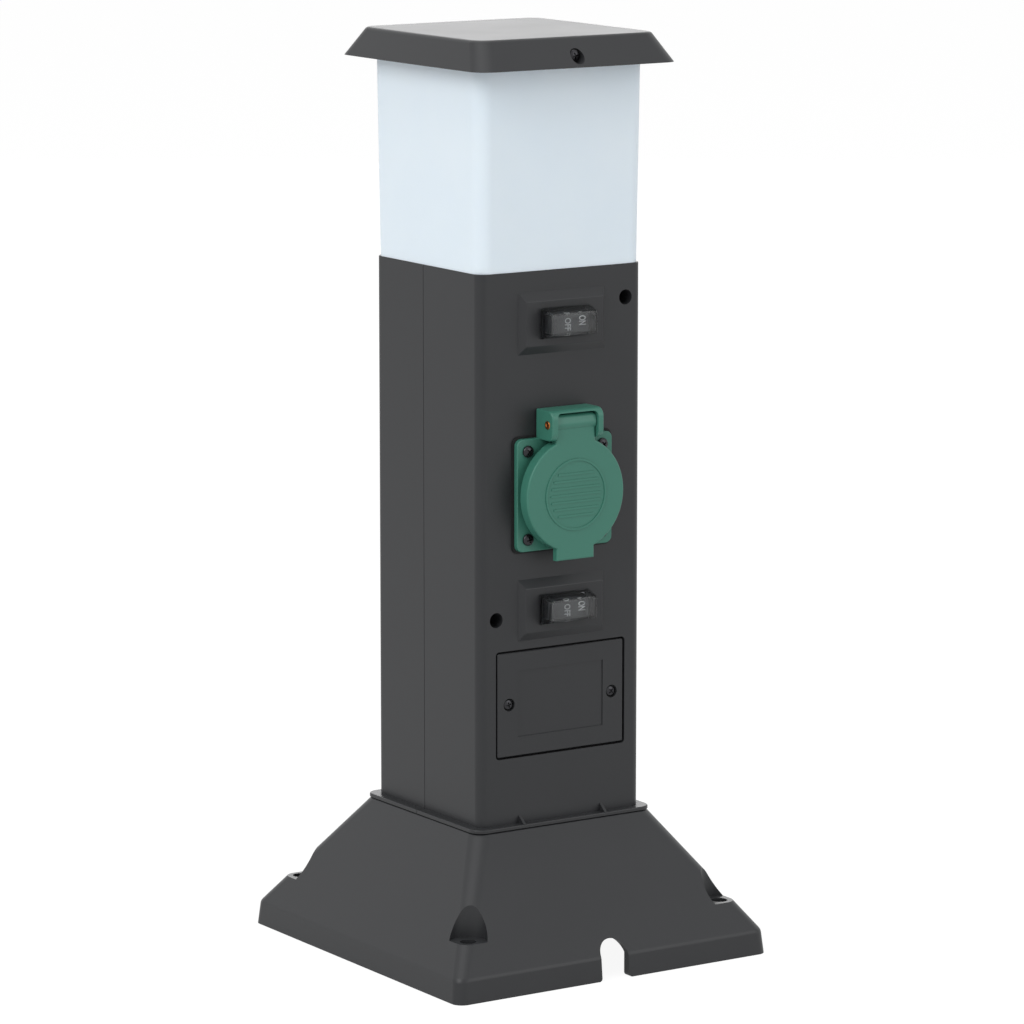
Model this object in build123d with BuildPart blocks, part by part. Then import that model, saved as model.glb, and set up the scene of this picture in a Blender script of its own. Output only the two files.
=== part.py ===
from build123d import *
import math
import os

# A square garden socket column with a lamp head on a pyramid foot, in millimetres.
# The origin is the middle of the foot's underside, +Z is up and the socket faces -Y.

os.makedirs("parts", exist_ok=True)

# Fits that every sub-part shares
fit = 0.2
run_gap = 0.3
thread_gap = 0.1

# Cross in a screw's head: shares of the head's radius and height
cross_span = 1.2
cross_width = 0.3
cross_depth = 0.5

# Foot
foot_x = 160.2
foot_y = 169.6
foot_rim_h = 10.2
foot_rim_draft = 1.0
foot_height = 61.3
foot_shadow_step = 0.4
foot_deck_step = 0.2
foot_deck_t = 3.0
foot_corner_r = 5.0
foot_ridge_r = 7.0
foot_wall = 3.4
foot_crease_r = 3.0
foot_shoulder_r = 0.8
anchor_edge_x = 15.1
anchor_edge_y = 15.8
anchor_hole_r = 3.5
anchor_boss_wall = 3.5
anchor_ledge_z = 22.5
anchor_ledge_t = 3.0
pocket_r = 8.2
pocket_wall = 2.8
notch_w = 14.0
notch_top_z = 16.8
notch_flare_r = 1.5

# Column shells
column_side = 83.0
column_wall = 3.0
column_corner_r = 4.0
collar_reach = 4.2
collar_t = 1.5
collar_r = 6.0
collar_edge_r = 0.5
gusset_x = 21.0
gusset_h = 3.4
gusset_t = 1.2
gusset_root = 1.0
seam_y = 2.6
seam_gap = 0.3
lip_t = 2.0
lip_reach = 4.0
lip_foot = 2.0
deck_boss_r = 5.6
deck_boss_overlap = 0.6
deck_boss_h = 22.0
deck_screw_r = 1.9
deck_screw_head_r = 3.8
deck_screw_head_h = 2.6
deck_screw_l = 18.0
shell_well_inset = 8.5
shell_well_rise = 7.8
shell_well_drop = 3.0
well_r = 3.25
well_wall = 2.0
well_floor_ahead = 9.6
well_floor_t = 3.0
shell_screw_r = 1.5
shell_screw_head_r = 2.9
shell_screw_head_h = 2.4
shell_screw_l = 19.0
shell_boss_r = 4.5
shell_boss_bite = 0.5

# What stands on the column's front, and the gaps between, from the collar up
collar_to_cover = 29.65
cover_to_switch = 4.6
switch_to_socket = 12.55
roof_to_switch = 23.25
switch_to_shade = 9.05

# Lamp head
plate_ledge_t = 2.0
plate_ledge_w = 2.0
plate_t = 2.5
shade_gasket_t = 0.5
shade_step = 0.1
shade_flare = 1.2
shade_h = 94.8
shade_bottom_r = 6.0
shade_top_r = 6.5
shade_wall = 2.2
spigot_wall = 2.0
spigot_l = 3.2
spigot_rim_w = 1.6
spigot_rim_t = 1.5
cap_overhang_x = 8.0
cap_overhang_y = 13.7
cap_top_overhang_x = 2.5
cap_top_overhang_y = 3.8
cap_bow = 0.7
cap_h = 12.4
cap_corner_r = 7.4
cap_top_r = 7.0
cap_edge_r = 2.2
cap_wall = 2.4
cap_gasket_t = 1.6
cap_skirt_wall = 1.8
cap_skirt_up = 1.9
cap_screw_up = 4.5
cap_screw_r = 1.5
cap_screw_head_r = 2.8
cap_screw_head_h = 2.0
cap_screw_well_r = 3.25
cap_screw_floor_t = 7.0
cap_screw_l = 12.9
cap_boss_r = 4.6
shade_boss_r = 3.8
shade_boss_l = 4.0

# Bulb and lamp holder
bulb_cap_r = 13.2
bulb_thread_depth = 0.7
bulb_thread_pitch = 3.24
bulb_thread_turns = 6
bulb_tip_r = 4.6
bulb_tip_h = 1.6
bulb_skirt_h = 4.0
globe_r = 22.5
globe_neck_step = 0.6
globe_wall = 1.2
contact_t = 1.0
bulb_gap = 0.8
shell_contact_t = 0.5
shell_contact_up = 6.5
shell_contact_h = 20.0
shell_tail_in = 4.0
stem_r = 1.6
stem_l = 2.0
wire_hole_r = 2.0
holder_wall = 3.9
holder_h = 36.5
holder_edge_r = 1.5
holder_flange_w = 4.5
holder_flange_h = 3.0
holder_screw_out = 2.0
holder_screw_r = 1.4
holder_screw_head_r = 1.9
holder_screw_head_h = 1.5
plate_opening_step = 0.4

# Socket with its hinged lid
plug_well_r = 19.8
plug_well_depth = 17.4
plug_collar_wall = 2.4
plug_collar_h = 5.0
well_tube_wall = 1.6
socket_flange_rim = 2.1
socket_flange_r = 3.0
socket_flange_t = 2.2
flange_edge_r = 0.5
socket_gasket_t = 0.8
socket_gasket_proud = 0.9
socket_screw_inset = 5.3
socket_screw_r = 1.4
socket_screw_head_r = 2.6
socket_screw_head_h = 1.8
socket_screw_l = 9.0
socket_boss_r = 3.0
socket_boss_l = 3.0
pin_pitch = 19.0
pin_hole_r = 2.9
contact_step = 0.5
contact_wall = 0.9
contact_start = 1.5
contact_plug_l = 2.0
contact_recess = 1.0
insert_floor_t = 2.6
insert_flange_t = 3.0
tower_wall = 1.5
tower_l = 15.5
earth_w = 5.0
earth_t = 0.9
earth_setback = 3.0
key_w = 2.4
key_h = 5.0
key_l = 12.0
key_inset = 0.6
lid_overlap = 2.5
lid_skirt_gap = 1.0
lid_skirt_l = 2.2
lid_t = 3.2
lid_edge_r = 0.8
lid_web_t = 1.7
lid_recess_gap = 0.6
lid_arm_half = 9.9
lid_neck_r = 0.9
lid_tab_half = 9.5
lid_tab_l = 3.4
lid_tab_r = 1.5
lid_tab_neck_r = 2.0
lid_ring_r = 15.0
lid_ring_w = 0.9
lid_ring_h = 0.4
lid_rib_count = 7
lid_rib_pitch = 3.0
lid_rib_w = 0.9
lid_rib_h = 0.3
lid_rib_margin = 2.2
hinge_over_lid = 5.9
hinge_forward = 1.1
hinge_pin_r = 1.1
knuckle_wall = 0.4
crown_rise = 1.75
crown_step = 0.5
crown_corner_r = 1.8
ear_gap = 0.4
ear_t = 2.8
ear_overlap = 0.6
ear_forward = 4.0
ear_nose_r = 3.8
ear_edge_r = 0.7
hinge_corner_r = 2.0
roof_gap = 0.75
roof_t = 1.2
spring_wire_r = 0.35
spring_clear = 0.4
spring_turns = 6
spring_pitch = 1.1
spring_end_gap = 0.9

# Rocker switches
platform_w = 43.7
platform_h = 26.5
platform_slope_w = 2.1
platform_slope_h = 3.7
platform_rise = 2.8
platform_edge_r = 0.5
platform_back_w = 34.0
platform_back_h = 14.0
switch_w = 20.4
switch_h = 9.4
switch_depth = 17.3
bezel_rim_w = 1.2
bezel_rim_h = 0.8
bezel_t = 1.2
bezel_edge_r = 0.3
switch_wall_w = 0.9
switch_wall_h = 0.6
switch_cavity_depth = 6.3
rocker_gap_w = 0.6
rocker_pivot_in = 0.7
rocker_tilt = 8.0
rocker_rise = 2.9
rocker_side = 0.8
rocker_root_half = 5.0
rocker_root = 2.4
rocker_pin_r = 0.8
hood_gap_w = 0.6
hood_gap_h = 0.4
hood_slope_w = 1.0
hood_slope_h = 1.8
hood_rise = 7.7
hood_wall = 0.8
hood_corner_r = 0.8
blade_w = 4.8
blade_t = 0.8
blade_l = 8.0
blade_pitch = 6.8

# Terminal compartment
cover_w = 64.6
cover_h = 45.3
cover_t = 2.5
cover_gap = 0.9
cover_r = 0.8
cover_edge = 0.3
cover_panel_gap = 1.8
cover_panel_inset_h = 8.2
cover_panel_depth = 0.4
cover_gasket_t = 1.0
cover_gasket_inset = 0.5
cover_gasket_rim = 1.0
cover_screw_inset = 5.9
cover_screw_r = 1.3
cover_screw_head_r = 2.4
cover_screw_head_h = 1.3
cover_screw_well_r = 2.8
cover_screw_well_depth = 1.5
cover_screw_l = 9.0
cover_boss_r = 3.1
cover_boss_l = 6.5
ledge_rim = 2.5
ledge_t = 2.5
window_h = 28.0
tray_side_gap = 0.7
tray_rim = 2.1
tray_depth = 26.0
tray_wall = 1.4
tray_corner_r = 1.5
tray_slot_gap = 1.2
tray_slot_ahead = 5.6
tray_slot_depth = 8.0
block_h = 15.0
block_depth = 15.0
block_poles = 3
block_pitch = 11.0
block_groove_w = 1.2
block_groove_depth = 9.0
block_screw_r = 1.9
block_screw_dz = 4.4
block_screw_depth = 3.0
block_screw_sink = 1.0
block_slot_w = 0.6
block_slot_depth = 0.8

# Cable gland in the foot's deck
gland_thread_r = 9.9
gland_bore_r = 6.0
gland_hex_rim = 2.1
gland_hex_h = 6.0
gland_up = 9.0
gland_down = 8.5
gland_nut_floor = 1.7
gland_nut_lip = 0.4
gland_nut_chamfer = 1.2
gland_seal_h = 4.0
gland_seal_squeeze = 1.0
locknut_rim = 3.1
locknut_h = 5.0

# Wires
wire_r = 1.2
wire_gap = 0.4
wire_ahead = 6.1
bend_share = 0.45

# Column and foot: sizes that follow from the ones above
column_half = column_side / 2
front_y = -column_half
column_inner = column_half - column_wall
column_inner_r = column_corner_r - column_wall / 2
collar_side = column_side + 2 * collar_reach
collar_top_z = foot_height + collar_t
foot_deck_side = collar_side - 2 * foot_deck_step
foot_deck_top_z = foot_height - foot_shadow_step
foot_deck_bottom_z = foot_deck_top_z - foot_deck_t
anchor_pitch_x = foot_x - 2 * anchor_edge_x
anchor_pitch_y = foot_y - 2 * anchor_edge_y
deck_screw_pitch = 2 * (column_inner - deck_boss_r + deck_boss_overlap)
well_floor_y = seam_y - well_floor_ahead
meet_y = well_floor_y + well_floor_t

# Socket: its radii grow from the plug's well outwards
well_tube_outer_r = plug_well_r + well_tube_wall
plug_collar_r = plug_well_r + plug_collar_wall
socket_flange_side = 2 * (plug_collar_r + socket_flange_rim)
socket_screw_pitch = socket_flange_side - 2 * socket_screw_inset
lid_r = plug_collar_r + lid_overlap
lid_recess_r = plug_collar_r + lid_recess_gap
lid_gasket_inner_r = plug_well_r + thread_gap
contact_r = pin_hole_r + contact_step
tower_r = contact_r + thread_gap + tower_wall
spring_coil_r = hinge_pin_r + spring_clear + spring_wire_r
spring_pocket_r = spring_coil_r + spring_wire_r + run_gap
spring_l = spring_turns * spring_pitch
spring_pocket_half = spring_l / 2 + spring_end_gap
lid_knuckle_r = spring_pocket_r + knuckle_wall
lid_crown_r = lid_knuckle_r - crown_step
ear_inner_x = lid_arm_half + ear_gap
ear_outer_x = ear_inner_x + ear_t

# Heights on the column's front
cover_z = collar_top_z + collar_to_cover + cover_h / 2
lower_z = cover_z + cover_h / 2 + cover_to_switch + platform_h / 2
socket_z = lower_z + platform_h / 2 + switch_to_socket + socket_flange_side / 2
hinge_z = socket_z + lid_r + hinge_over_lid
ear_bottom_z = socket_z + socket_flange_side / 2 - ear_overlap
lid_crown_z = hinge_z + crown_rise + lid_crown_r
roof_bottom_z = lid_crown_z + roof_gap
roof_top_z = roof_bottom_z + roof_t
upper_z = roof_top_z + roof_to_switch + platform_h / 2
column_top_z = upper_z + platform_h / 2 + switch_to_shade
lid_tab_bottom_z = socket_z - lid_r - lid_tab_l
switch_places = (("upper", upper_z), ("lower", lower_z))
well_x = column_half - shell_well_inset
well_places = ((well_x, upper_z + shell_well_rise), (-well_x, lower_z - shell_well_drop))

# Depths from the column's front, outwards and then inwards
flange_back_y = front_y - socket_gasket_t
flange_front_y = flange_back_y - socket_flange_t
plug_collar_front_y = flange_front_y - plug_collar_h
lid_back_y = plug_collar_front_y - run_gap
lid_front_y = lid_back_y - lid_t
lid_web_y = lid_front_y + lid_web_t
hinge_y = lid_back_y - hinge_forward
ear_front_y = hinge_y - ear_forward
plug_floor_y = plug_collar_front_y + plug_well_depth
plug_tube_back_y = plug_floor_y + insert_floor_t
contact_front_y = plug_tube_back_y + contact_start
insert_back_y = plug_tube_back_y + insert_flange_t
tower_back_y = insert_back_y + tower_l
cover_back_y = front_y + cover_t
ledge_front_y = cover_back_y + cover_gasket_t
ledge_back_y = ledge_front_y + ledge_t
tray_floor_y = ledge_back_y + tray_depth - tray_wall

# Switches
platform_y = front_y - platform_rise
platform_top_w = platform_w - 2 * platform_slope_w
platform_top_h = platform_h - 2 * platform_slope_h
switch_back_y = platform_y + switch_depth
bezel_w = switch_w + 2 * bezel_rim_w
bezel_h = switch_h + 2 * bezel_rim_h
rocker_w = switch_w - 2 * (switch_wall_w + rocker_gap_w)
rocker_h = switch_h - 2 * (switch_wall_h + run_gap)
rocker_half = rocker_w / 2
rocker_pivot_y = platform_y + rocker_pivot_in
hood_base_w = bezel_w + 2 * (hood_wall + hood_gap_w)
hood_base_h = bezel_h + 2 * (hood_wall + hood_gap_h)
hood_front_w = hood_base_w - 2 * hood_slope_w
hood_front_h = hood_base_h - 2 * hood_slope_h
hood_front_y = platform_y - hood_rise

# Terminal compartment
cover_screw_x = cover_w / 2 - cover_screw_inset
cover_panel_w = 2 * (cover_screw_x - cover_screw_well_r - cover_panel_gap)
cover_panel_h = cover_h - 2 * cover_panel_inset_h
tray_w = 2 * (cover_screw_x - cover_boss_r - tray_side_gap)
window_w = tray_w - 2 * tray_rim
tray_h = window_h + 2 * tray_rim
block_w = block_poles * block_pitch
wire_pair = wire_r + wire_gap
wire_y = tray_floor_y - wire_ahead
tray_slot_y = tray_floor_y - tray_slot_ahead
tray_slot_w = 2 * (block_pitch + wire_pair + wire_r + tray_slot_gap)

# Lamp head
shade_bottom_side = column_side - 2 * shade_step
shade_top_side = shade_bottom_side + 2 * shade_flare
shade_top_z = column_top_z + shade_h
shade_floor_z = column_top_z + shade_wall
spigot_half = column_inner - run_gap
spigot_bottom_z = column_top_z - spigot_l
plate_top_z = spigot_bottom_z - shade_gasket_t
plate_ledge_z = plate_top_z - plate_t
cap_half_x = shade_top_side / 2 + cap_overhang_x
cap_half_y = shade_top_side / 2 + cap_overhang_y
cap_top_half_x = shade_top_side / 2 + cap_top_overhang_x
cap_top_half_y = shade_top_side / 2 + cap_top_overhang_y
cap_ceiling_z = shade_top_z + cap_gasket_t
cap_top_z = cap_ceiling_z + cap_wall
cap_bottom_z = cap_top_z - cap_h
cap_skirt_bottom_z = cap_bottom_z + cap_skirt_up
cap_screw_z = cap_bottom_z + cap_screw_up
skirt_half = shade_top_side / 2 + run_gap
cap_slope_x = (cap_half_x - cap_top_half_x) / cap_h
cap_slope_y = (cap_half_y - cap_top_half_y) / cap_h
cap_screw_floor_y = -(skirt_half + cap_screw_floor_t)

# Bulb and lamp holder
holder_bore_r = bulb_cap_r + bulb_gap + shell_contact_t + thread_gap
holder_r = holder_bore_r + holder_wall
holder_flange_r = holder_r + holder_flange_w
holder_screw_x = holder_r + holder_screw_out
shell_tail_x = holder_bore_r - shell_tail_in
plate_opening_r = holder_bore_r + plate_opening_step
holder_base_z = plate_top_z
holder_floor_z = holder_base_z + holder_flange_h
holder_top_z = holder_base_z + holder_h
shell_contact_z = holder_floor_z + shell_contact_up
bulb_tip_z = holder_floor_z + contact_t + fit
bulb_cap_top_z = holder_top_z + run_gap
globe_neck_r = bulb_cap_r + globe_neck_step
globe_centre_z = bulb_cap_top_z + math.sqrt(globe_r**2 - globe_neck_r**2)

# Cable gland
gland_hex_af = 2 * (gland_thread_r + gland_hex_rim)
gland_nut_bore_r = gland_bore_r - gland_nut_lip
gland_nut_h = gland_down - fit + gland_seal_h + gland_nut_floor
locknut_af = 2 * (gland_thread_r + locknut_rim)


def front_plane(y):
    """A sketch plane at depth y that faces the front: x runs right, y runs up."""
    return Plane(origin=(0, y, 0), x_dir=(1, 0, 0), z_dir=(0, -1, 0))


def back_plane(y):
    """A sketch plane at depth y that faces the back: x runs left, y runs up."""
    return Plane(origin=(0, y, 0), x_dir=(-1, 0, 0), z_dir=(0, 1, 0))


def level(z):
    """A level sketch plane at height z."""
    return Plane.XY.offset(z)


def between(start, end, start_value, end_value, at):
    """The value at a place on the straight line between two places."""
    return start_value + (end_value - start_value) * (at - start) / (end - start)


def foot_outline(z, inset=0.0):
    """Width, depth and corner radius of the foot's slope at height z."""
    width = between(foot_rim_h, foot_deck_top_z, foot_x - 2 * foot_rim_draft, foot_deck_side, z)
    depth = between(foot_rim_h, foot_deck_top_z, foot_y - 2 * foot_rim_draft, foot_deck_side, z)
    radius = between(foot_rim_h, foot_deck_top_z, foot_corner_r, foot_ridge_r, z)
    return width - 2 * inset, depth - 2 * inset, max(radius - inset, 1.0)


def bowed_rectangle(half_x, half_y, bow, radius):
    """A rectangular outline whose sides bulge by bow, with rounded corners."""
    corners = [(half_x, half_y), (-half_x, half_y), (-half_x, -half_y), (half_x, -half_y)]
    middles = [(0, half_y + bow), (-half_x - bow, 0), (0, -half_y - bow), (half_x + bow, 0)]
    with BuildSketch() as outline:
        with BuildLine():
            for index, middle in enumerate(middles):
                ThreePointArc(corners[index], middle, corners[(index + 1) % 4])
        make_face()
        fillet(outline.vertices(), radius)
    return outline.sketch


def screw(plane, places, head_r, head_h, shank_r, shank_l):
    """Cross-head screws whose heads stand on the plane and whose shanks go down into it."""
    with BuildPart() as screws:
        with BuildSketch(plane):
            with Locations(*places):
                Circle(head_r)
        extrude(amount=head_h)
        with BuildSketch(plane):
            with Locations(*places):
                Circle(shank_r)
        extrude(amount=-shank_l)
        with BuildSketch(plane.offset(head_h)):
            with Locations(*places):
                Rectangle(head_r * cross_span, head_r * cross_width)
                Rectangle(head_r * cross_width, head_r * cross_span)
        extrude(amount=-head_h * cross_depth, mode=Mode.SUBTRACT)
    return screws.part


# Foot
with BuildPart() as foot_block:
    with BuildSketch(Plane.XY):
        RectangleRounded(foot_x, foot_y, foot_corner_r)
    with BuildSketch(level(foot_rim_h)):
        RectangleRounded(*foot_outline(foot_rim_h))
    loft()
    with BuildSketch(level(foot_rim_h)):
        RectangleRounded(*foot_outline(foot_rim_h))
    with BuildSketch(level(foot_deck_top_z)):
        RectangleRounded(*foot_outline(foot_deck_top_z))
    loft()
    rim_crease = foot_block.edges().filter_by_position(Axis.Z, foot_rim_h - 0.1, foot_rim_h + 0.1)
    fillet(rim_crease, foot_crease_r)
    deck_edge = foot_block.edges().filter_by_position(Axis.Z, foot_deck_top_z - 0.1, foot_deck_top_z + 0.1)
    fillet(deck_edge, foot_shoulder_r)

with BuildPart() as pocket_walls:
    with BuildSketch(level(anchor_ledge_z - anchor_ledge_t)):
        with GridLocations(anchor_pitch_x, anchor_pitch_y, 2, 2):
            Circle(pocket_r + pocket_wall)
    extrude(amount=foot_deck_bottom_z - anchor_ledge_z)
    with BuildSketch(Plane.XY):
        with GridLocations(anchor_pitch_x, anchor_pitch_y, 2, 2):
            Circle(anchor_hole_r + anchor_boss_wall)
    extrude(amount=anchor_ledge_z)
    add(foot_block.part, mode=Mode.INTERSECT)

with BuildPart() as base:
    add(foot_block.part)
    with BuildSketch(Plane.XY):
        RectangleRounded(*foot_outline(foot_rim_h, foot_wall))
    extrude(amount=foot_rim_h, mode=Mode.SUBTRACT)
    with BuildSketch(level(foot_rim_h)):
        RectangleRounded(*foot_outline(foot_rim_h, foot_wall))
    with BuildSketch(level(foot_deck_bottom_z)):
        RectangleRounded(*foot_outline(foot_deck_bottom_z, foot_wall))
    loft(mode=Mode.SUBTRACT)
    add(pocket_walls.part)
    with BuildSketch(level(anchor_ledge_z)):
        with GridLocations(anchor_pitch_x, anchor_pitch_y, 2, 2):
            Circle(pocket_r)
    extrude(amount=foot_height - anchor_ledge_z, mode=Mode.SUBTRACT)
    with BuildSketch(Plane.XY):
        with GridLocations(anchor_pitch_x, anchor_pitch_y, 2, 2):
            Circle(anchor_hole_r)
    extrude(amount=anchor_ledge_z, mode=Mode.SUBTRACT)
    with BuildSketch(level(foot_deck_top_z)):
        RectangleRounded(column_side, column_side, column_corner_r)
    extrude(amount=foot_shadow_step)
    with BuildSketch(level(foot_deck_bottom_z)):
        Circle(gland_thread_r + fit)
        with GridLocations(deck_screw_pitch, deck_screw_pitch, 2, 2):
            Circle(deck_screw_r + fit)
    extrude(amount=foot_height - foot_deck_bottom_z, mode=Mode.SUBTRACT)
    with BuildSketch(front_plane(-foot_y / 2)):
        with Locations((0, (notch_top_z - notch_w / 2) / 2)):
            Rectangle(notch_w, notch_top_z - notch_w / 2)
        with Locations((0, notch_top_z - notch_w / 2)):
            Circle(notch_w / 2)
    extrude(amount=-(foot_y / 2 - column_half), mode=Mode.SUBTRACT)
    notch_feet = base.edges().filter_by(Axis.Y).filter_by_position(Axis.Z, -0.1, 0.1)
    fillet(notch_feet.filter_by_position(Axis.X, -notch_w, notch_w), notch_flare_r)
base.part.label = "base"
export_step(base.part, "parts/base.step")


def half_shell(cut_y, keep):
    """One half of the column: collar, walls, screw bosses, ledge and groove for the shade."""
    with BuildPart() as half:
        with BuildSketch(level(foot_height)):
            RectangleRounded(collar_side, collar_side, collar_r)
        extrude(amount=collar_t)
        fillet(half.faces().sort_by(Axis.Z)[-1].edges(), collar_edge_r)
        with BuildSketch(level(foot_height)):
            RectangleRounded(column_side, column_side, column_corner_r)
        extrude(amount=column_top_z - foot_height)
        with BuildSketch(level(foot_height)):
            RectangleRounded(2 * column_inner, 2 * column_inner, column_inner_r)
        extrude(amount=column_top_z - foot_height, mode=Mode.SUBTRACT)
        with BuildSketch(level(foot_height)):
            with GridLocations(deck_screw_pitch, deck_screw_pitch, 2, 2):
                Circle(deck_boss_r)
        extrude(amount=deck_boss_h)
        with BuildSketch(level(foot_height)):
            with GridLocations(deck_screw_pitch, deck_screw_pitch, 2, 2):
                Circle(deck_screw_r + thread_gap)
        extrude(amount=deck_boss_h - column_wall, mode=Mode.SUBTRACT)
        with BuildSketch(level(plate_ledge_z - plate_ledge_t)):
            RectangleRounded(column_side - column_wall, column_side - column_wall, column_corner_r)
            ledge_opening = 2 * (column_inner - plate_ledge_w)
            RectangleRounded(ledge_opening, ledge_opening, column_inner_r, mode=Mode.SUBTRACT)
        extrude(amount=plate_ledge_t)
        with BuildSketch(level(spigot_bottom_z - run_gap)):
            groove = 2 * (spigot_half + spigot_rim_w + run_gap)
            RectangleRounded(groove, groove, column_corner_r)
        extrude(amount=spigot_rim_t + 2 * run_gap, mode=Mode.SUBTRACT)
        for side in (-1, 1):
            with BuildSketch(Plane.YZ.offset(side * gusset_x)):
                for face in (-1, 1):
                    with BuildLine():
                        Polyline(
                            (face * (column_half - gusset_root), collar_top_z),
                            (face * collar_side / 2, collar_top_z),
                            (face * column_half, collar_top_z + gusset_h),
                            (face * (column_half - gusset_root), collar_top_z + gusset_h),
                            close=True,
                        )
                    make_face()
            extrude(amount=gusset_t / 2, both=True)
        split(bisect_by=Plane.XZ.offset(-cut_y), keep=keep)
    return half.part


# Front half of the column, with everything that faces the user
with BuildPart() as front_shell:
    add(half_shell(seam_y - seam_gap / 2, Keep.TOP))
    for _, switch_z in switch_places:
        with BuildSketch(front_plane(front_y)):
            with Locations((0, switch_z)):
                Rectangle(platform_w, platform_h)
        with BuildSketch(front_plane(platform_y)):
            with Locations((0, switch_z)):
                Rectangle(platform_top_w, platform_top_h)
        loft()
        platform_rim = front_shell.edges().filter_by_position(Axis.Y, platform_y - fit, platform_y + fit)
        switch_band = (switch_z - platform_h / 2, switch_z + platform_h / 2)
        fillet(platform_rim.filter_by_position(Axis.Z, *switch_band), platform_edge_r)
        with BuildSketch(front_plane(-column_inner)):
            with Locations((0, switch_z)):
                Rectangle(platform_back_w, platform_back_h)
        extrude(amount=platform_rise, mode=Mode.SUBTRACT)
        with BuildSketch(front_plane(platform_y)):
            with Locations((0, switch_z)):
                Rectangle(switch_w + 2 * fit, switch_h + 2 * fit)
        extrude(amount=-2 * column_wall, mode=Mode.SUBTRACT)
    with BuildSketch(front_plane(front_y)):
        with Locations(*well_places):
            Circle(well_r + well_wall)
    extrude(amount=-(well_floor_y + well_floor_t - front_y))
    with BuildSketch(front_plane(front_y)):
        with Locations(*well_places):
            Circle(well_r)
    extrude(amount=-(well_floor_y - front_y), mode=Mode.SUBTRACT)
    with BuildSketch(front_plane(well_floor_y)):
        with Locations(*well_places):
            Circle(shell_screw_r + fit)
    extrude(amount=-well_floor_t, mode=Mode.SUBTRACT)
    with BuildSketch(front_plane(front_y)):
        with Locations((0, socket_z)):
            with GridLocations(socket_screw_pitch, socket_screw_pitch, 2, 2):
                Circle(socket_boss_r)
    extrude(amount=-(column_wall + socket_boss_l))
    with BuildSketch(front_plane(front_y)):
        with Locations((0, socket_z)):
            Circle(well_tube_outer_r + run_gap)
            with GridLocations(socket_screw_pitch, socket_screw_pitch, 2, 2):
                Circle(socket_screw_r + thread_gap)
    extrude(amount=-(column_wall + socket_boss_l), mode=Mode.SUBTRACT)
    with BuildSketch(front_plane(front_y + column_wall / 2)):
        with Locations((0, cover_z)):
            recess_w = cover_w + 2 * cover_gap
            recess_h = cover_h + 2 * cover_gap
            Rectangle(recess_w + 2 * ledge_rim, recess_h + 2 * ledge_rim)
    extrude(amount=-(ledge_back_y - front_y - column_wall / 2))
    with BuildSketch(front_plane(front_y)):
        with Locations((0, cover_z)):
            RectangleRounded(recess_w, recess_h, cover_r + cover_gap)
    extrude(amount=-(ledge_front_y - front_y), mode=Mode.SUBTRACT)
    with BuildSketch(front_plane(ledge_front_y)):
        with Locations((0, cover_z)):
            Rectangle(window_w, window_h)
    extrude(amount=-ledge_t, mode=Mode.SUBTRACT)
    with BuildSketch(front_plane(ledge_back_y)):
        with Locations((0, cover_z)):
            with GridLocations(2 * cover_screw_x, 0, 2, 1):
                Circle(cover_boss_r)
    extrude(amount=-cover_boss_l)
    with BuildSketch(front_plane(ledge_front_y)):
        with Locations((0, cover_z)):
            with GridLocations(2 * cover_screw_x, 0, 2, 1):
                Circle(cover_screw_r + thread_gap)
    extrude(amount=-(ledge_t + cover_boss_l), mode=Mode.SUBTRACT)
front_shell.part.label = "front_shell"
export_step(front_shell.part, "parts/front_shell.step")

# Rear half of the column, with the bosses that the front's screws bite into
with BuildPart() as rear_shell:
    add(half_shell(seam_y + seam_gap / 2, Keep.BOTTOM))
    lip_h = plate_ledge_z - plate_ledge_t - collar_top_z
    lip_bottom_z = collar_top_z
    for side in (-1, 1):
        with BuildSketch(level(lip_bottom_z)):
            lip_x = side * (column_inner - fit - lip_t / 2)
            with Locations((lip_x, seam_y + lip_foot / 2)):
                Rectangle(lip_t, 2 * lip_reach + lip_foot)
            with Locations((lip_x + side * fit, seam_y + lip_foot + lip_reach / 2)):
                Rectangle(lip_t + 2 * fit, lip_reach)
        extrude(amount=lip_h)
    with BuildSketch(back_plane(meet_y)):
        with Locations(*[(-x, z) for x, z in well_places]):
            Circle(shell_boss_r)
    extrude(amount=column_inner + shell_boss_bite - meet_y)
    with BuildSketch(back_plane(meet_y)):
        with Locations(*[(-x, z) for x, z in well_places]):
            Circle(shell_screw_r + thread_gap)
    extrude(amount=shell_screw_l, mode=Mode.SUBTRACT)
rear_shell.part.label = "rear_shell"
export_step(rear_shell.part, "parts/rear_shell.step")

with BuildPart() as shell_screws:
    add(
        screw(
            front_plane(well_floor_y),
            well_places,
            shell_screw_head_r,
            shell_screw_head_h,
            shell_screw_r,
            shell_screw_l,
        )
    )
shell_screws.part.label = "shell_screws"
export_step(shell_screws.part, "parts/shell_screws.step")

deck_half = deck_screw_pitch / 2
deck_places = [(x, y) for x in (-deck_half, deck_half) for y in (-deck_half, deck_half)]
with BuildPart() as deck_screws:
    add(
        screw(
            Plane(origin=(0, 0, foot_deck_bottom_z), x_dir=(1, 0, 0), z_dir=(0, 0, -1)),
            deck_places,
            deck_screw_head_r,
            deck_screw_head_h,
            deck_screw_r,
            deck_screw_l,
        )
    )
deck_screws.part.label = "deck_screws"
export_step(deck_screws.part, "parts/deck_screws.step")

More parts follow.
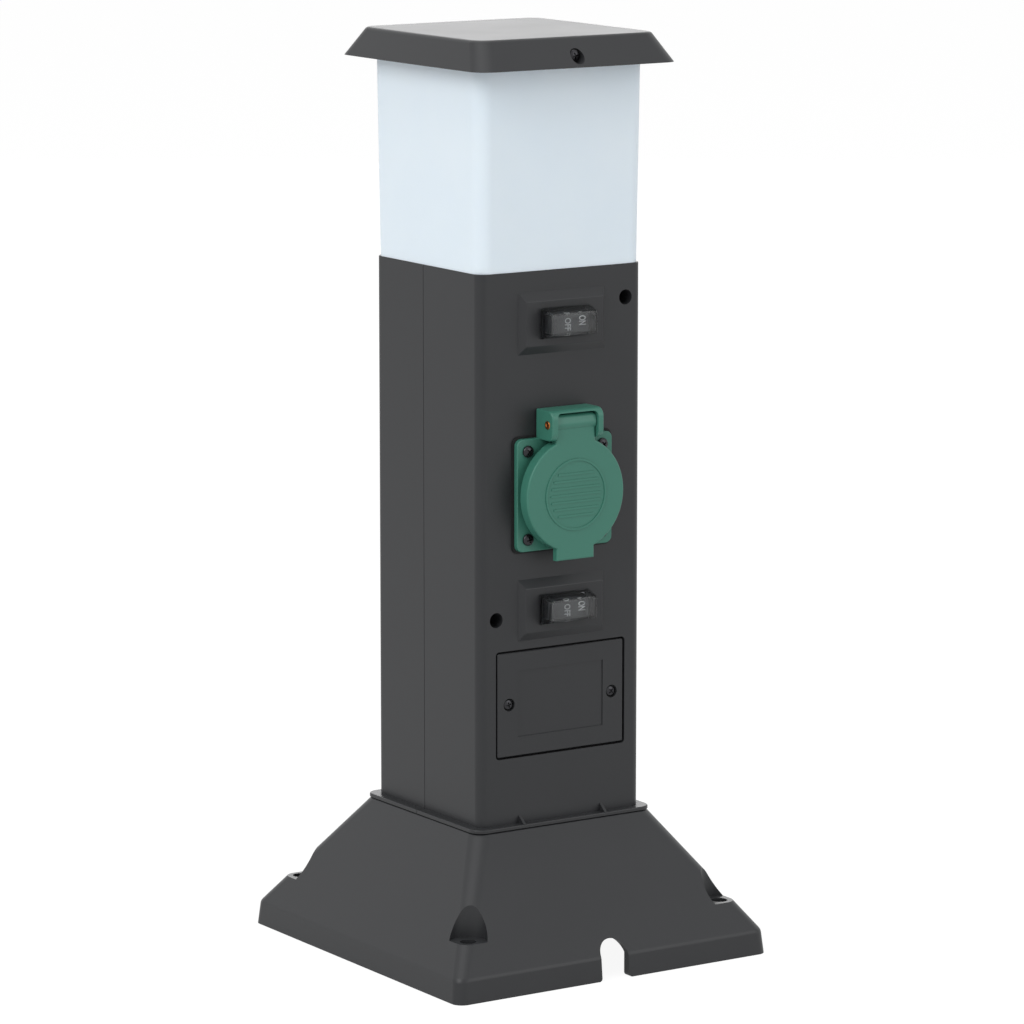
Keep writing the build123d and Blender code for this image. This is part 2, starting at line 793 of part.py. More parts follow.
# Cable gland through the foot's deck
with BuildPart() as gland_body:
    with BuildSketch(level(foot_deck_bottom_z - gland_hex_h)):
        RegularPolygon(gland_hex_af / 2, 6, major_radius=False)
    extrude(amount=gland_hex_h)
    with BuildSketch(level(foot_deck_bottom_z - gland_hex_h - gland_down)):
        Circle(gland_thread_r)
    extrude(amount=gland_down + gland_hex_h + foot_height - foot_deck_bottom_z + gland_up)
    with BuildSketch(level(foot_deck_bottom_z - gland_hex_h - gland_down)):
        Circle(gland_bore_r)
    extrude(
        amount=gland_down + gland_hex_h + foot_height - foot_deck_bottom_z + gland_up,
        mode=Mode.SUBTRACT,
    )
gland_body.part.label = "gland_body"
export_step(gland_body.part, "parts/gland_body.step")

gland_nut_top_z = foot_deck_bottom_z - gland_hex_h - fit
gland_seal_top_z = foot_deck_bottom_z - gland_hex_h - gland_down
with BuildPart() as gland_nut:
    with BuildSketch(level(gland_nut_top_z - gland_nut_h)):
        RegularPolygon(gland_hex_af / 2, 6, major_radius=False)
    extrude(amount=gland_nut_h)
    chamfer(gland_nut.faces().sort_by(Axis.Z)[0].edges(), gland_nut_chamfer)
    with BuildSketch(level(gland_nut_top_z)):
        Circle(gland_thread_r + thread_gap)
    extrude(amount=-(gland_nut_top_z - gland_seal_top_z + gland_seal_h), mode=Mode.SUBTRACT)
    with BuildSketch(level(gland_nut_top_z)):
        Circle(gland_nut_bore_r)
    extrude(amount=-gland_nut_h, mode=Mode.SUBTRACT)
gland_nut.part.label = "gland_nut"
export_step(gland_nut.part, "parts/gland_nut.step")

with BuildPart() as gland_seal:
    with BuildSketch(level(gland_seal_top_z)):
        Circle(gland_thread_r)
        Circle(gland_nut_bore_r - gland_seal_squeeze, mode=Mode.SUBTRACT)
    extrude(amount=-gland_seal_h)
gland_seal.part.label = "gland_seal"
export_step(gland_seal.part, "parts/gland_seal.step")

with BuildPart() as gland_locknut:
    with BuildSketch(level(foot_height)):
        RegularPolygon(locknut_af / 2, 6, major_radius=False)
        Circle(gland_thread_r + thread_gap, mode=Mode.SUBTRACT)
    extrude(amount=locknut_h)
gland_locknut.part.label = "gland_locknut"
export_step(gland_locknut.part, "parts/gland_locknut.step")

# Plate that closes the column's top and carries the lamp holder
plate_side = 2 * (column_inner - fit)
with BuildPart() as lamp_plate:
    with BuildSketch(level(plate_ledge_z)):
        RectangleRounded(plate_side, plate_side, column_inner_r)
        Circle(plate_opening_r, mode=Mode.SUBTRACT)
        with GridLocations(2 * holder_screw_x, 0, 2, 1):
            Circle(holder_screw_r + thread_gap, mode=Mode.SUBTRACT)
    extrude(amount=plate_t)
lamp_plate.part.label = "lamp_plate"
export_step(lamp_plate.part, "parts/lamp_plate.step")

with BuildPart() as lamp_holder:
    with BuildSketch(level(holder_base_z)):
        Circle(holder_flange_r)
    extrude(amount=holder_flange_h)
    with BuildSketch(level(holder_base_z)):
        Circle(holder_r)
    extrude(amount=holder_top_z - holder_base_z)
    fillet(lamp_holder.faces().sort_by(Axis.Z)[-1].edges(), holder_edge_r)
    with BuildSketch(level(holder_floor_z)):
        Circle(holder_bore_r)
    extrude(amount=holder_top_z - holder_floor_z, mode=Mode.SUBTRACT)
    with BuildSketch(level(holder_base_z)):
        with Locations((0, 0), (shell_tail_x, 0)):
            Circle(wire_hole_r)
        with GridLocations(2 * holder_screw_x, 0, 2, 1):
            Circle(holder_screw_r + fit)
    extrude(amount=holder_flange_h, mode=Mode.SUBTRACT)
lamp_holder.part.label = "lamp_holder"
export_step(lamp_holder.part, "parts/lamp_holder.step")

with BuildPart() as holder_screws:
    add(
        screw(
            level(holder_floor_z),
            [(-holder_screw_x, 0), (holder_screw_x, 0)],
            holder_screw_head_r,
            holder_screw_head_h,
            holder_screw_r,
            holder_flange_h + plate_t,
        )
    )
holder_screws.part.label = "holder_screws"
export_step(holder_screws.part, "parts/holder_screws.step")

# The centre contact and the threaded shell, each with a stem down to its wire
shell_contact_r = holder_bore_r - thread_gap
with BuildPart() as holder_contacts:
    with BuildSketch(level(holder_floor_z)):
        Circle(bulb_tip_r)
    extrude(amount=contact_t)
    with BuildSketch(level(holder_floor_z)):
        with Locations((0, 0), (shell_tail_x, 0)):
            Circle(stem_r)
    extrude(amount=-stem_l)
    with BuildSketch(level(holder_floor_z)):
        with Locations(((shell_tail_x - stem_r + shell_contact_r) / 2, 0)):
            Rectangle(shell_contact_r - shell_tail_x + stem_r, 2 * stem_r)
        Circle(shell_contact_r, mode=Mode.INTERSECT)
    extrude(amount=contact_t)
    with BuildSketch(level(holder_floor_z)):
        Circle(shell_contact_r)
        Circle(shell_contact_r - shell_contact_t, mode=Mode.SUBTRACT)
        with Locations((shell_contact_r, 0)):
            Rectangle(4 * shell_contact_t, 2 * stem_r, mode=Mode.INTERSECT)
    extrude(amount=shell_contact_z - holder_floor_z)
    with BuildSketch(level(shell_contact_z)):
        Circle(shell_contact_r)
        Circle(shell_contact_r - shell_contact_t, mode=Mode.SUBTRACT)
    extrude(amount=shell_contact_h)
holder_contacts.part.label = "holder_contacts"
export_step(holder_contacts.part, "parts/holder_contacts.step")

with BuildPart() as bulb_cap:
    with BuildSketch(Plane.XZ) as cap_profile:
        with BuildLine():
            thread_base_z = bulb_tip_z + bulb_tip_h + bulb_skirt_h
            points = [(0, bulb_tip_z), (bulb_tip_r, bulb_tip_z), (bulb_tip_r, bulb_tip_z + bulb_tip_h)]
            points.append((bulb_cap_r - bulb_thread_depth, thread_base_z))
            for turn in range(bulb_thread_turns):
                crest_z = thread_base_z + (turn + 0.5) * bulb_thread_pitch
                root_z = thread_base_z + (turn + 1) * bulb_thread_pitch
                points.append((bulb_cap_r, crest_z))
                points.append((bulb_cap_r - bulb_thread_depth, root_z))
            points.append((bulb_cap_r - bulb_thread_depth, bulb_cap_top_z))
            points.append((0, bulb_cap_top_z))
            Polyline(*points, close=True)
        make_face()
    revolve(axis=Axis.Z)
bulb_cap.part.label = "bulb_cap"
export_step(bulb_cap.part, "parts/bulb_cap.step")

with BuildPart() as bulb_globe:
    with BuildSketch(level(bulb_cap_top_z)):
        Circle(globe_neck_r)
    extrude(amount=globe_centre_z - bulb_cap_top_z)
    with Locations((0, 0, globe_centre_z)):
        Sphere(globe_r)
        Sphere(globe_r - globe_wall, mode=Mode.SUBTRACT)
    with BuildSketch(level(bulb_cap_top_z)):
        Circle(globe_neck_r - globe_wall)
    extrude(amount=globe_centre_z - bulb_cap_top_z, mode=Mode.SUBTRACT)
    split(bisect_by=level(bulb_cap_top_z), keep=Keep.TOP)
bulb_globe.part.label = "bulb_globe"
export_step(bulb_globe.part, "parts/bulb_globe.step")

# Opal shade: its rim is held in the groove between the two shells
with BuildPart() as diffuser:
    with BuildSketch(level(column_top_z)):
        RectangleRounded(shade_bottom_side, shade_bottom_side, shade_bottom_r)
    with BuildSketch(level(shade_top_z)):
        RectangleRounded(shade_top_side, shade_top_side, shade_top_r)
    loft()
    with BuildSketch(level(shade_floor_z)):
        bottom_inner = shade_bottom_side - 2 * shade_wall
        RectangleRounded(bottom_inner, bottom_inner, shade_bottom_r - shade_wall)
    with BuildSketch(level(shade_top_z)):
        top_inner = shade_top_side - 2 * shade_wall
        RectangleRounded(top_inner, top_inner, shade_top_r - shade_wall)
    loft(mode=Mode.SUBTRACT)
    with BuildSketch(level(spigot_bottom_z)):
        RectangleRounded(2 * spigot_half, 2 * spigot_half, column_inner_r)
    extrude(amount=column_top_z - spigot_bottom_z)
    with BuildSketch(level(spigot_bottom_z)):
        rim_side = 2 * (spigot_half + spigot_rim_w)
        RectangleRounded(rim_side, rim_side, column_inner_r + spigot_rim_w)
    extrude(amount=spigot_rim_t)
    with BuildSketch(level(spigot_bottom_z)):
        spigot_opening = 2 * (spigot_half - spigot_wall)
        RectangleRounded(spigot_opening, spigot_opening, column_inner_r)
    extrude(amount=shade_floor_z - spigot_bottom_z, mode=Mode.SUBTRACT)
    shade_wall_y = between(column_top_z, shade_top_z, shade_bottom_side, shade_top_side, cap_screw_z) / 2
    for plane in (front_plane(-shade_wall_y + shade_wall / 2), back_plane(shade_wall_y - shade_wall / 2)):
        with BuildSketch(plane):
            with Locations((0, cap_screw_z)):
                Circle(shade_boss_r)
        extrude(amount=-(shade_wall / 2 + shade_boss_l))
        with BuildSketch(plane):
            with Locations((0, cap_screw_z)):
                Circle(cap_screw_r + thread_gap)
        extrude(amount=shade_wall)
        with BuildSketch(plane.offset(shade_wall)):
            with Locations((0, cap_screw_z)):
                Circle(cap_screw_r + thread_gap)
        extrude(amount=-(3 * shade_wall + shade_boss_l), mode=Mode.SUBTRACT)
diffuser.part.label = "diffuser"
export_step(diffuser.part, "parts/diffuser.step")

with BuildPart() as shade_gasket:
    with BuildSketch(level(plate_top_z)):
        RectangleRounded(2 * spigot_half, 2 * spigot_half, column_inner_r)
        RectangleRounded(spigot_opening, spigot_opening, column_inner_r, mode=Mode.SUBTRACT)
    extrude(amount=spigot_bottom_z - plate_top_z)
shade_gasket.part.label = "shade_gasket"
export_step(shade_gasket.part, "parts/shade_gasket.step")

# Cap with a skirt round the shade's top, and two screw bosses kept inside its sloped faces
with BuildPart() as cap_block:
    with BuildSketch(level(cap_bottom_z)):
        add(bowed_rectangle(cap_half_x, cap_half_y, cap_bow, cap_corner_r))
    with BuildSketch(level(cap_top_z)):
        add(bowed_rectangle(cap_top_half_x, cap_top_half_y, cap_bow, cap_top_r))
    loft()
    fillet(cap_block.faces().sort_by(Axis.Z)[-1].edges(), cap_edge_r)

with BuildPart() as cap_bosses:
    for plane in (front_plane(-skirt_half), back_plane(skirt_half)):
        with BuildSketch(plane):
            with Locations((0, cap_screw_z)):
                Circle(cap_boss_r)
        extrude(amount=cap_half_y - skirt_half)
    add(cap_block.part, mode=Mode.INTERSECT)

with BuildPart() as cap:
    add(cap_block.part)
    with BuildSketch(level(cap_bottom_z)):
        add(bowed_rectangle(cap_half_x - cap_wall, cap_half_y - cap_wall, cap_bow, cap_corner_r - cap_wall))
    with BuildSketch(level(cap_ceiling_z)):
        ceiling_half_x = cap_half_x - cap_wall - cap_slope_x * (cap_ceiling_z - cap_bottom_z)
        ceiling_half_y = cap_half_y - cap_wall - cap_slope_y * (cap_ceiling_z - cap_bottom_z)
        add(bowed_rectangle(ceiling_half_x, ceiling_half_y, cap_bow, cap_top_r - cap_wall))
    loft(mode=Mode.SUBTRACT)
    with BuildSketch(level(cap_skirt_bottom_z)):
        skirt_side = 2 * (skirt_half + cap_skirt_wall)
        RectangleRounded(skirt_side, skirt_side, shade_top_r + cap_skirt_wall)
        RectangleRounded(2 * skirt_half, 2 * skirt_half, shade_top_r, mode=Mode.SUBTRACT)
    extrude(amount=cap_ceiling_z - cap_skirt_bottom_z)
    add(cap_bosses.part)
    for plane in (front_plane(-skirt_half), back_plane(skirt_half)):
        with BuildSketch(plane.offset(-cap_screw_floor_y - skirt_half)):
            with Locations((0, cap_screw_z)):
                Circle(cap_screw_well_r)
        extrude(amount=3 * cap_wall, mode=Mode.SUBTRACT)
        with BuildSketch(plane):
            with Locations((0, cap_screw_z)):
                Circle(cap_screw_r + fit)
        extrude(amount=cap_half_y - skirt_half, mode=Mode.SUBTRACT)
cap.part.label = "cap"
export_step(cap.part, "parts/cap.step")

with BuildPart() as cap_gasket:
    with BuildSketch(level(shade_top_z)):
        RectangleRounded(shade_top_side, shade_top_side, shade_top_r)
        RectangleRounded(top_inner, top_inner, shade_top_r - shade_wall, mode=Mode.SUBTRACT)
    extrude(amount=cap_ceiling_z - shade_top_z)
cap_gasket.part.label = "cap_gasket"
export_step(cap_gasket.part, "parts/cap_gasket.step")

with BuildPart() as cap_screws:
    for plane in (front_plane(cap_screw_floor_y), back_plane(-cap_screw_floor_y)):
        add(
            screw(
                plane,
                [(0, cap_screw_z)],
                cap_screw_head_r,
                cap_screw_head_h,
                cap_screw_r,
                cap_screw_l,
            )
        )
cap_screws.part.label = "cap_screws"
export_step(cap_screws.part, "parts/cap_screws.step")

# Socket: green housing, black insert, contacts and earth clip
with BuildPart() as socket_flange:
    with BuildSketch(front_plane(flange_back_y)):
        with Locations((0, socket_z)):
            RectangleRounded(socket_flange_side, socket_flange_side, socket_flange_r)
    extrude(amount=socket_flange_t)
    fillet(socket_flange.faces().sort_by(Axis.Y)[0].edges(), flange_edge_r)
    with BuildSketch(front_plane(flange_front_y)):
        with Locations((0, socket_z)):
            Circle(plug_collar_r)
    extrude(amount=flange_front_y - plug_collar_front_y)
    with BuildSketch(front_plane(flange_back_y)):
        with Locations((0, socket_z)):
            Circle(well_tube_outer_r)
    extrude(amount=-(plug_tube_back_y - flange_back_y))
    with BuildSketch(front_plane(plug_collar_front_y)):
        with Locations((0, socket_z)):
            Circle(plug_well_r)
    extrude(amount=-(plug_tube_back_y - plug_collar_front_y), mode=Mode.SUBTRACT)
    with BuildSketch(front_plane(flange_back_y)):
        with Locations((0, socket_z)):
            with GridLocations(socket_screw_pitch, socket_screw_pitch, 2, 2):
                Circle(socket_screw_r + fit)
    extrude(amount=socket_flange_t, mode=Mode.SUBTRACT)

with BuildPart() as hinge_frame:
    with BuildSketch(front_plane(flange_back_y)):
        with Locations((0, (roof_top_z + ear_bottom_z) / 2)):
            Rectangle(2 * ear_outer_x, roof_top_z - ear_bottom_z)
    extrude(amount=flange_back_y - ear_front_y)
    nose_edges = hinge_frame.edges().filter_by(Axis.X).group_by(Axis.Y)[0]
    fillet(nose_edges, ear_nose_r)
    side_faces = hinge_frame.faces().filter_by(Axis.X)
    side_edges = [edge for face in side_faces for edge in face.edges().sort_by(Axis.Y)[:-1]]
    fillet(side_edges, ear_edge_r)
    with BuildSketch(front_plane(ear_front_y)) as hinge_opening:
        with Locations((0, (roof_bottom_z + socket_z) / 2)):
            Rectangle(2 * ear_inner_x, roof_bottom_z - socket_z)
        fillet(hinge_opening.vertices().group_by(Axis.Y)[-1], hinge_corner_r)
    extrude(amount=-(flange_front_y - ear_front_y), mode=Mode.SUBTRACT)
    with BuildSketch(Plane.YZ.offset(-ear_outer_x)):
        with Locations((hinge_y, hinge_z)):
            Circle(hinge_pin_r + thread_gap)
    extrude(amount=2 * ear_outer_x, mode=Mode.SUBTRACT)
with BuildPart() as socket_housing:
    add(socket_flange.part)
    add(hinge_frame.part)
socket_housing.part.label = "socket_housing"
export_step(socket_housing.part, "parts/socket_housing.step")

with BuildPart() as socket_gasket:
    with BuildSketch(front_plane(front_y)):
        with Locations((0, socket_z)):
            gasket_side = socket_flange_side + 2 * socket_gasket_proud
            RectangleRounded(gasket_side, gasket_side, socket_flange_r)
            Circle(well_tube_outer_r + fit, mode=Mode.SUBTRACT)
            with GridLocations(socket_screw_pitch, socket_screw_pitch, 2, 2):
                Circle(socket_screw_r + fit, mode=Mode.SUBTRACT)
    extrude(amount=socket_gasket_t)
socket_gasket.part.label = "socket_gasket"
export_step(socket_gasket.part, "parts/socket_gasket.step")

socket_half = socket_screw_pitch / 2
socket_places = [(x, socket_z + z) for x in (-socket_half, socket_half) for z in (-socket_half, socket_half)]
with BuildPart() as socket_screws:
    add(
        screw(
            front_plane(flange_front_y),
            socket_places,
            socket_screw_head_r,
            socket_screw_head_h,
            socket_screw_r,
            socket_screw_l,
        )
    )
socket_screws.part.label = "socket_screws"
export_step(socket_screws.part, "parts/socket_screws.step")

pin_places = [(-pin_pitch / 2, socket_z), (pin_pitch / 2, socket_z)]
earth_r = plug_well_r - fit
with BuildPart() as socket_insert:
    with BuildSketch(front_plane(plug_floor_y)):
        with Locations((0, socket_z)):
            Circle(plug_well_r - fit)
    extrude(amount=-(plug_tube_back_y - plug_floor_y))
    with BuildSketch(front_plane(plug_tube_back_y)):
        with Locations((0, socket_z)):
            Circle(well_tube_outer_r)
    extrude(amount=-insert_flange_t)
    with BuildSketch(front_plane(insert_back_y)):
        with Locations(*pin_places):
            Circle(tower_r)
    extrude(amount=-(tower_back_y - insert_back_y))
    with BuildSketch(front_plane(plug_floor_y)):
        for side in (-1, 1):
            with Locations((side * (plug_well_r - fit - key_w / 2 - key_inset), socket_z)):
                Rectangle(key_w, key_h)
    extrude(amount=key_l)
    with BuildSketch(front_plane(plug_floor_y)):
        with Locations(*pin_places):
            Circle(pin_hole_r)
    extrude(amount=-(contact_front_y - plug_floor_y), mode=Mode.SUBTRACT)
    with BuildSketch(front_plane(contact_front_y)):
        with Locations(*pin_places):
            Circle(contact_r + thread_gap)
    extrude(amount=-(tower_back_y - contact_front_y), mode=Mode.SUBTRACT)
    with BuildSketch(front_plane(plug_floor_y)):
        for side in (-1, 1):
            with Locations((0, socket_z + side * (earth_r - earth_t / 2 - fit))):
                Rectangle(earth_w + 2 * fit, earth_t + 2 * fit)
    extrude(amount=-(insert_back_y - plug_floor_y), mode=Mode.SUBTRACT)
socket_insert.part.label = "socket_insert"
export_step(socket_insert.part, "parts/socket_insert.step")

with BuildPart() as socket_contacts:
    with BuildSketch(front_plane(contact_front_y)):
        with Locations(*pin_places):
            Circle(contact_r)
            Circle(contact_r - contact_wall, mode=Mode.SUBTRACT)
    extrude(amount=-(tower_back_y - contact_recess - contact_front_y))
    with BuildSketch(front_plane(tower_back_y - contact_recess)):
        with Locations(*pin_places):
            Circle(contact_r)
    extrude(amount=contact_plug_l)
socket_contacts.part.label = "socket_contacts"
export_step(socket_contacts.part, "parts/socket_contacts.step")

earth_bar_y = insert_back_y + fit
with BuildPart() as earth_clip:
    with BuildSketch(front_plane(earth_bar_y)):
        with Locations((0, socket_z)):
            Rectangle(earth_w, 2 * (earth_r - fit))
    extrude(amount=-earth_t)
    with BuildSketch(front_plane(earth_bar_y)):
        for side in (-1, 1):
            with Locations((0, socket_z + side * (earth_r - earth_t / 2 - fit))):
                Rectangle(earth_w, earth_t)
    extrude(amount=earth_bar_y - plug_collar_front_y - earth_setback)
earth_clip.part.label = "earth_clip"
export_step(earth_clip.part, "parts/earth_clip.step")

# Lid, its seal, its pin and its spring
with BuildPart() as lid_knuckle:
    with BuildSketch(Plane.YZ.offset(-lid_arm_half)):
        with Locations((hinge_y, hinge_z)):
            Circle(lid_knuckle_r)
        with Locations((hinge_y, hinge_z + crown_rise)):
            Circle(lid_crown_r)
        make_hull()
    extrude(amount=2 * lid_arm_half)
    with BuildSketch(front_plane(hinge_y - lid_knuckle_r)) as knuckle_outline:
        with Locations((0, (lid_crown_z + hinge_z - lid_knuckle_r) / 2)):
            Rectangle(2 * lid_arm_half, lid_crown_z - hinge_z + lid_knuckle_r)
        fillet(knuckle_outline.vertices().group_by(Axis.Y)[-1], crown_corner_r)
    extrude(amount=-2 * lid_knuckle_r, mode=Mode.INTERSECT)

with BuildPart() as socket_lid:
    with BuildSketch(front_plane(lid_back_y)) as lid_outline:
        with Locations((0, socket_z)):
            Circle(lid_r)
        with Locations((0, (socket_z + hinge_z) / 2)):
            Rectangle(2 * lid_arm_half, hinge_z - socket_z)
        with Locations((0, (socket_z + lid_tab_bottom_z) / 2)):
            Rectangle(2 * lid_tab_half, socket_z - lid_tab_bottom_z)
        corners = lid_outline.vertices()
        fillet(corners.filter_by_position(Axis.Y, socket_z + lid_r / 2, socket_z + lid_r), lid_neck_r)
        fillet(corners.filter_by_position(Axis.Y, socket_z - lid_r, socket_z - lid_r / 2), lid_tab_neck_r)
        fillet(corners.sort_by(Axis.Y)[:2], lid_tab_r)
    extrude(amount=lid_t)
    front_rim = socket_lid.faces().sort_by(Axis.Y)[0].edges()
    fillet(front_rim.filter_by_position(Axis.Z, 0, hinge_z - lid_edge_r), lid_edge_r)
    add(lid_knuckle.part)
    with BuildSketch(front_plane(lid_back_y)):
        with Locations((0, socket_z)):
            Circle(lid_r)
            Circle(plug_collar_r + lid_skirt_gap, mode=Mode.SUBTRACT)
    extrude(amount=-lid_skirt_l)
    with BuildSketch(front_plane(lid_back_y)):
        with Locations((0, socket_z)):
            Circle(lid_recess_r)
    extrude(amount=lid_t - lid_web_t, mode=Mode.SUBTRACT)
    with BuildSketch(Plane.YZ.offset(-lid_arm_half)):
        with Locations((hinge_y, hinge_z)):
            Circle(hinge_pin_r + thread_gap)
    extrude(amount=2 * lid_arm_half, mode=Mode.SUBTRACT)
    with BuildSketch(Plane.YZ):
        with Locations((hinge_y, hinge_z)):
            Circle(spring_pocket_r)
        with Locations((hinge_y + lid_knuckle_r, hinge_z)):
            Rectangle(2 * lid_knuckle_r, 2 * spring_pocket_r)
    extrude(amount=spring_pocket_half, both=True, mode=Mode.SUBTRACT)
    with BuildSketch(front_plane(lid_front_y)):
        with Locations((0, socket_z)):
            Circle(lid_ring_r + lid_ring_w / 2)
            Circle(lid_ring_r - lid_ring_w / 2, mode=Mode.SUBTRACT)
    extrude(amount=lid_ring_h)
    with BuildSketch(front_plane(lid_front_y)):
        for index in range(lid_rib_count):
            rib_dz = (index - (lid_rib_count - 1) / 2) * lid_rib_pitch
            rib_half = math.sqrt((lid_ring_r - lid_rib_margin) ** 2 - rib_dz**2)
            with Locations((0, socket_z + rib_dz)):
                Rectangle(2 * rib_half, lid_rib_w)
    extrude(amount=lid_rib_h)
socket_lid.part.label = "socket_lid"
export_step(socket_lid.part, "parts/socket_lid.step")

with BuildPart() as lid_gasket:
    with BuildSketch(front_plane(lid_web_y)):
        with Locations((0, socket_z)):
            Circle(lid_recess_r - fit)
            Circle(lid_gasket_inner_r, mode=Mode.SUBTRACT)
    extrude(amount=-(plug_collar_front_y - run_gap - lid_web_y))
lid_gasket.part.label = "lid_gasket"
export_step(lid_gasket.part, "parts/lid_gasket.step")

with BuildPart() as hinge_pin:
    with BuildSketch(Plane.YZ.offset(-ear_outer_x + thread_gap)):
        with Locations((hinge_y, hinge_z)):
            Circle(hinge_pin_r)
    extrude(amount=2 * (ear_outer_x - thread_gap))
hinge_pin.part.label = "hinge_pin"
export_step(hinge_pin.part, "parts/hinge_pin.step")

with BuildPart() as lid_spring:
    with BuildLine() as coil:
        Helix(
            spring_pitch,
            spring_l,
            spring_coil_r,
            center=(-spring_l / 2, hinge_y, hinge_z),
            direction=(1, 0, 0),
        )
    with BuildSketch(Plane(coil.line @ 0, z_dir=coil.line % 0)):
        Circle(spring_wire_r)
    sweep(path=coil.line, is_frenet=True)
lid_spring.part.label = "lid_spring"
export_step(lid_spring.part, "parts/lid_spring.step")

# Switches: each has a body, a rocker, a clear hood and its blades
for place, switch_z in switch_places:
    with BuildPart() as switch_body:
        with BuildSketch(front_plane(platform_y)):
            with Locations((0, switch_z)):
                Rectangle(bezel_w, bezel_h)
        extrude(amount=bezel_t)
        fillet(switch_body.faces().sort_by(Axis.Y)[0].edges(), bezel_edge_r)
        with BuildSketch(front_plane(platform_y)):
            with Locations((0, switch_z)):
                Rectangle(switch_w, switch_h)
        extrude(amount=-switch_depth)
        with BuildSketch(front_plane(platform_y - bezel_t)):
            with Locations((0, switch_z)):
                Rectangle(switch_w - 2 * switch_wall_w, switch_h - 2 * switch_wall_h)
        extrude(amount=-(bezel_t + switch_cavity_depth), mode=Mode.SUBTRACT)
        with BuildSketch(level(switch_z - switch_h / 2)):
            with Locations((0, rocker_pivot_y)):
                Circle(rocker_pin_r + fit)
        extrude(amount=switch_h, mode=Mode.SUBTRACT)
    switch_body.part.label = f"switch_body_{place}"
    export_step(switch_body.part, f"parts/switch_body_{place}.step")

    tilt = math.radians(-rocker_tilt)
    rocker_plane = Plane(
        origin=(0, rocker_pivot_y, switch_z),
        x_dir=(math.cos(tilt), math.sin(tilt), 0),
        z_dir=(0, 0, 1),
    )
    crest = -rocker_rise - rocker_half * math.tan(math.radians(rocker_tilt))
    with BuildPart() as rocker:
        with BuildSketch(rocker_plane):
            with BuildLine():
                Polyline(
                    (0, -rocker_rise),
                    (rocker_half, crest),
                    (rocker_half, -rocker_side),
                    (rocker_root_half, rocker_root),
                    (-rocker_root_half, rocker_root),
                    (-rocker_half, -rocker_side),
                    (-rocker_half, crest),
                    close=True,
                )
            make_face()
        extrude(amount=rocker_h / 2, both=True)
        with BuildSketch(rocker_plane):
            Circle(rocker_pin_r)
        extrude(amount=switch_h / 2 - thread_gap, both=True)
    rocker.part.label = f"rocker_{place}"
    export_step(rocker.part, f"parts/rocker_{place}.step")

    with BuildPart() as hood:
        with BuildSketch(front_plane(platform_y)):
            with Locations((0, switch_z)):
                RectangleRounded(hood_base_w, hood_base_h, hood_corner_r)
        with BuildSketch(front_plane(hood_front_y)):
            with Locations((0, switch_z)):
                RectangleRounded(hood_front_w, hood_front_h, hood_corner_r)
        loft()
        with BuildSketch(front_plane(platform_y)):
            with Locations((0, switch_z)):
                Rectangle(hood_base_w - 2 * hood_wall, hood_base_h - 2 * hood_wall)
        with BuildSketch(front_plane(hood_front_y + hood_wall)):
            with Locations((0, switch_z)):
                Rectangle(hood_front_w - 2 * hood_wall, hood_front_h - 2 * hood_wall)
        loft(mode=Mode.SUBTRACT)
    hood.part.label = f"hood_{place}"
    export_step(hood.part, f"parts/hood_{place}.step")

    with BuildPart() as switch_blades:
        with BuildSketch(front_plane(switch_back_y)):
            with Locations((0, switch_z)):
                with GridLocations(blade_pitch, 0, 3, 1):
                    Rectangle(blade_t, blade_w)
        extrude(amount=-blade_l)
    switch_blades.part.label = f"switch_blades_{place}"
    export_step(switch_blades.part, f"parts/switch_blades_{place}.step")

# Terminal compartment behind its cover
cover_places = [(-cover_screw_x, cover_z), (cover_screw_x, cover_z)]
with BuildPart() as terminal_cover:
    with BuildSketch(front_plane(cover_back_y)):
        with Locations((0, cover_z)):
            RectangleRounded(cover_w, cover_h, cover_r)
    extrude(amount=cover_t)
    chamfer(terminal_cover.faces().sort_by(Axis.Y)[0].edges(), cover_edge)
    with BuildSketch(front_plane(front_y)):
        with Locations((0, cover_z)):
            Rectangle(cover_panel_w, cover_panel_h)
    extrude(amount=-cover_panel_depth, mode=Mode.SUBTRACT)
    with BuildSketch(front_plane(front_y)):
        with Locations(*cover_places):
            Circle(cover_screw_well_r)
    extrude(amount=-cover_screw_well_depth, mode=Mode.SUBTRACT)
    with BuildSketch(front_plane(front_y)):
        with Locations(*cover_places):
            Circle(cover_screw_r + fit)
    extrude(amount=-cover_t, mode=Mode.SUBTRACT)
terminal_cover.part.label = "terminal_cover"
export_step(terminal_cover.part, "parts/terminal_cover.step")

with BuildPart() as cover_gasket:
    with BuildSketch(front_plane(ledge_front_y)):
        with Locations((0, cover_z)):
            gasket_w = cover_w - 2 * cover_gasket_inset
            gasket_h = cover_h - 2 * cover_gasket_inset
            RectangleRounded(gasket_w, gasket_h, cover_r)
            gasket_opening_w = window_w + 2 * cover_gasket_rim
            gasket_opening_h = window_h + 2 * cover_gasket_rim
            Rectangle(gasket_opening_w, gasket_opening_h, mode=Mode.SUBTRACT)
        with Locations(*cover_places):
            Circle(cover_screw_r + fit, mode=Mode.SUBTRACT)
    extrude(amount=cover_gasket_t)
cover_gasket.part.label = "cover_gasket"
export_step(cover_gasket.part, "parts/cover_gasket.step")

with BuildPart() as cover_screws:
    add(
        screw(
            front_plane(front_y + cover_screw_well_depth),
            cover_places,
            cover_screw_head_r,
            cover_screw_head_h,
            cover_screw_r,
            cover_screw_l,
        )
    )
cover_screws.part.label = "cover_screws"
export_step(cover_screws.part, "parts/cover_screws.step")

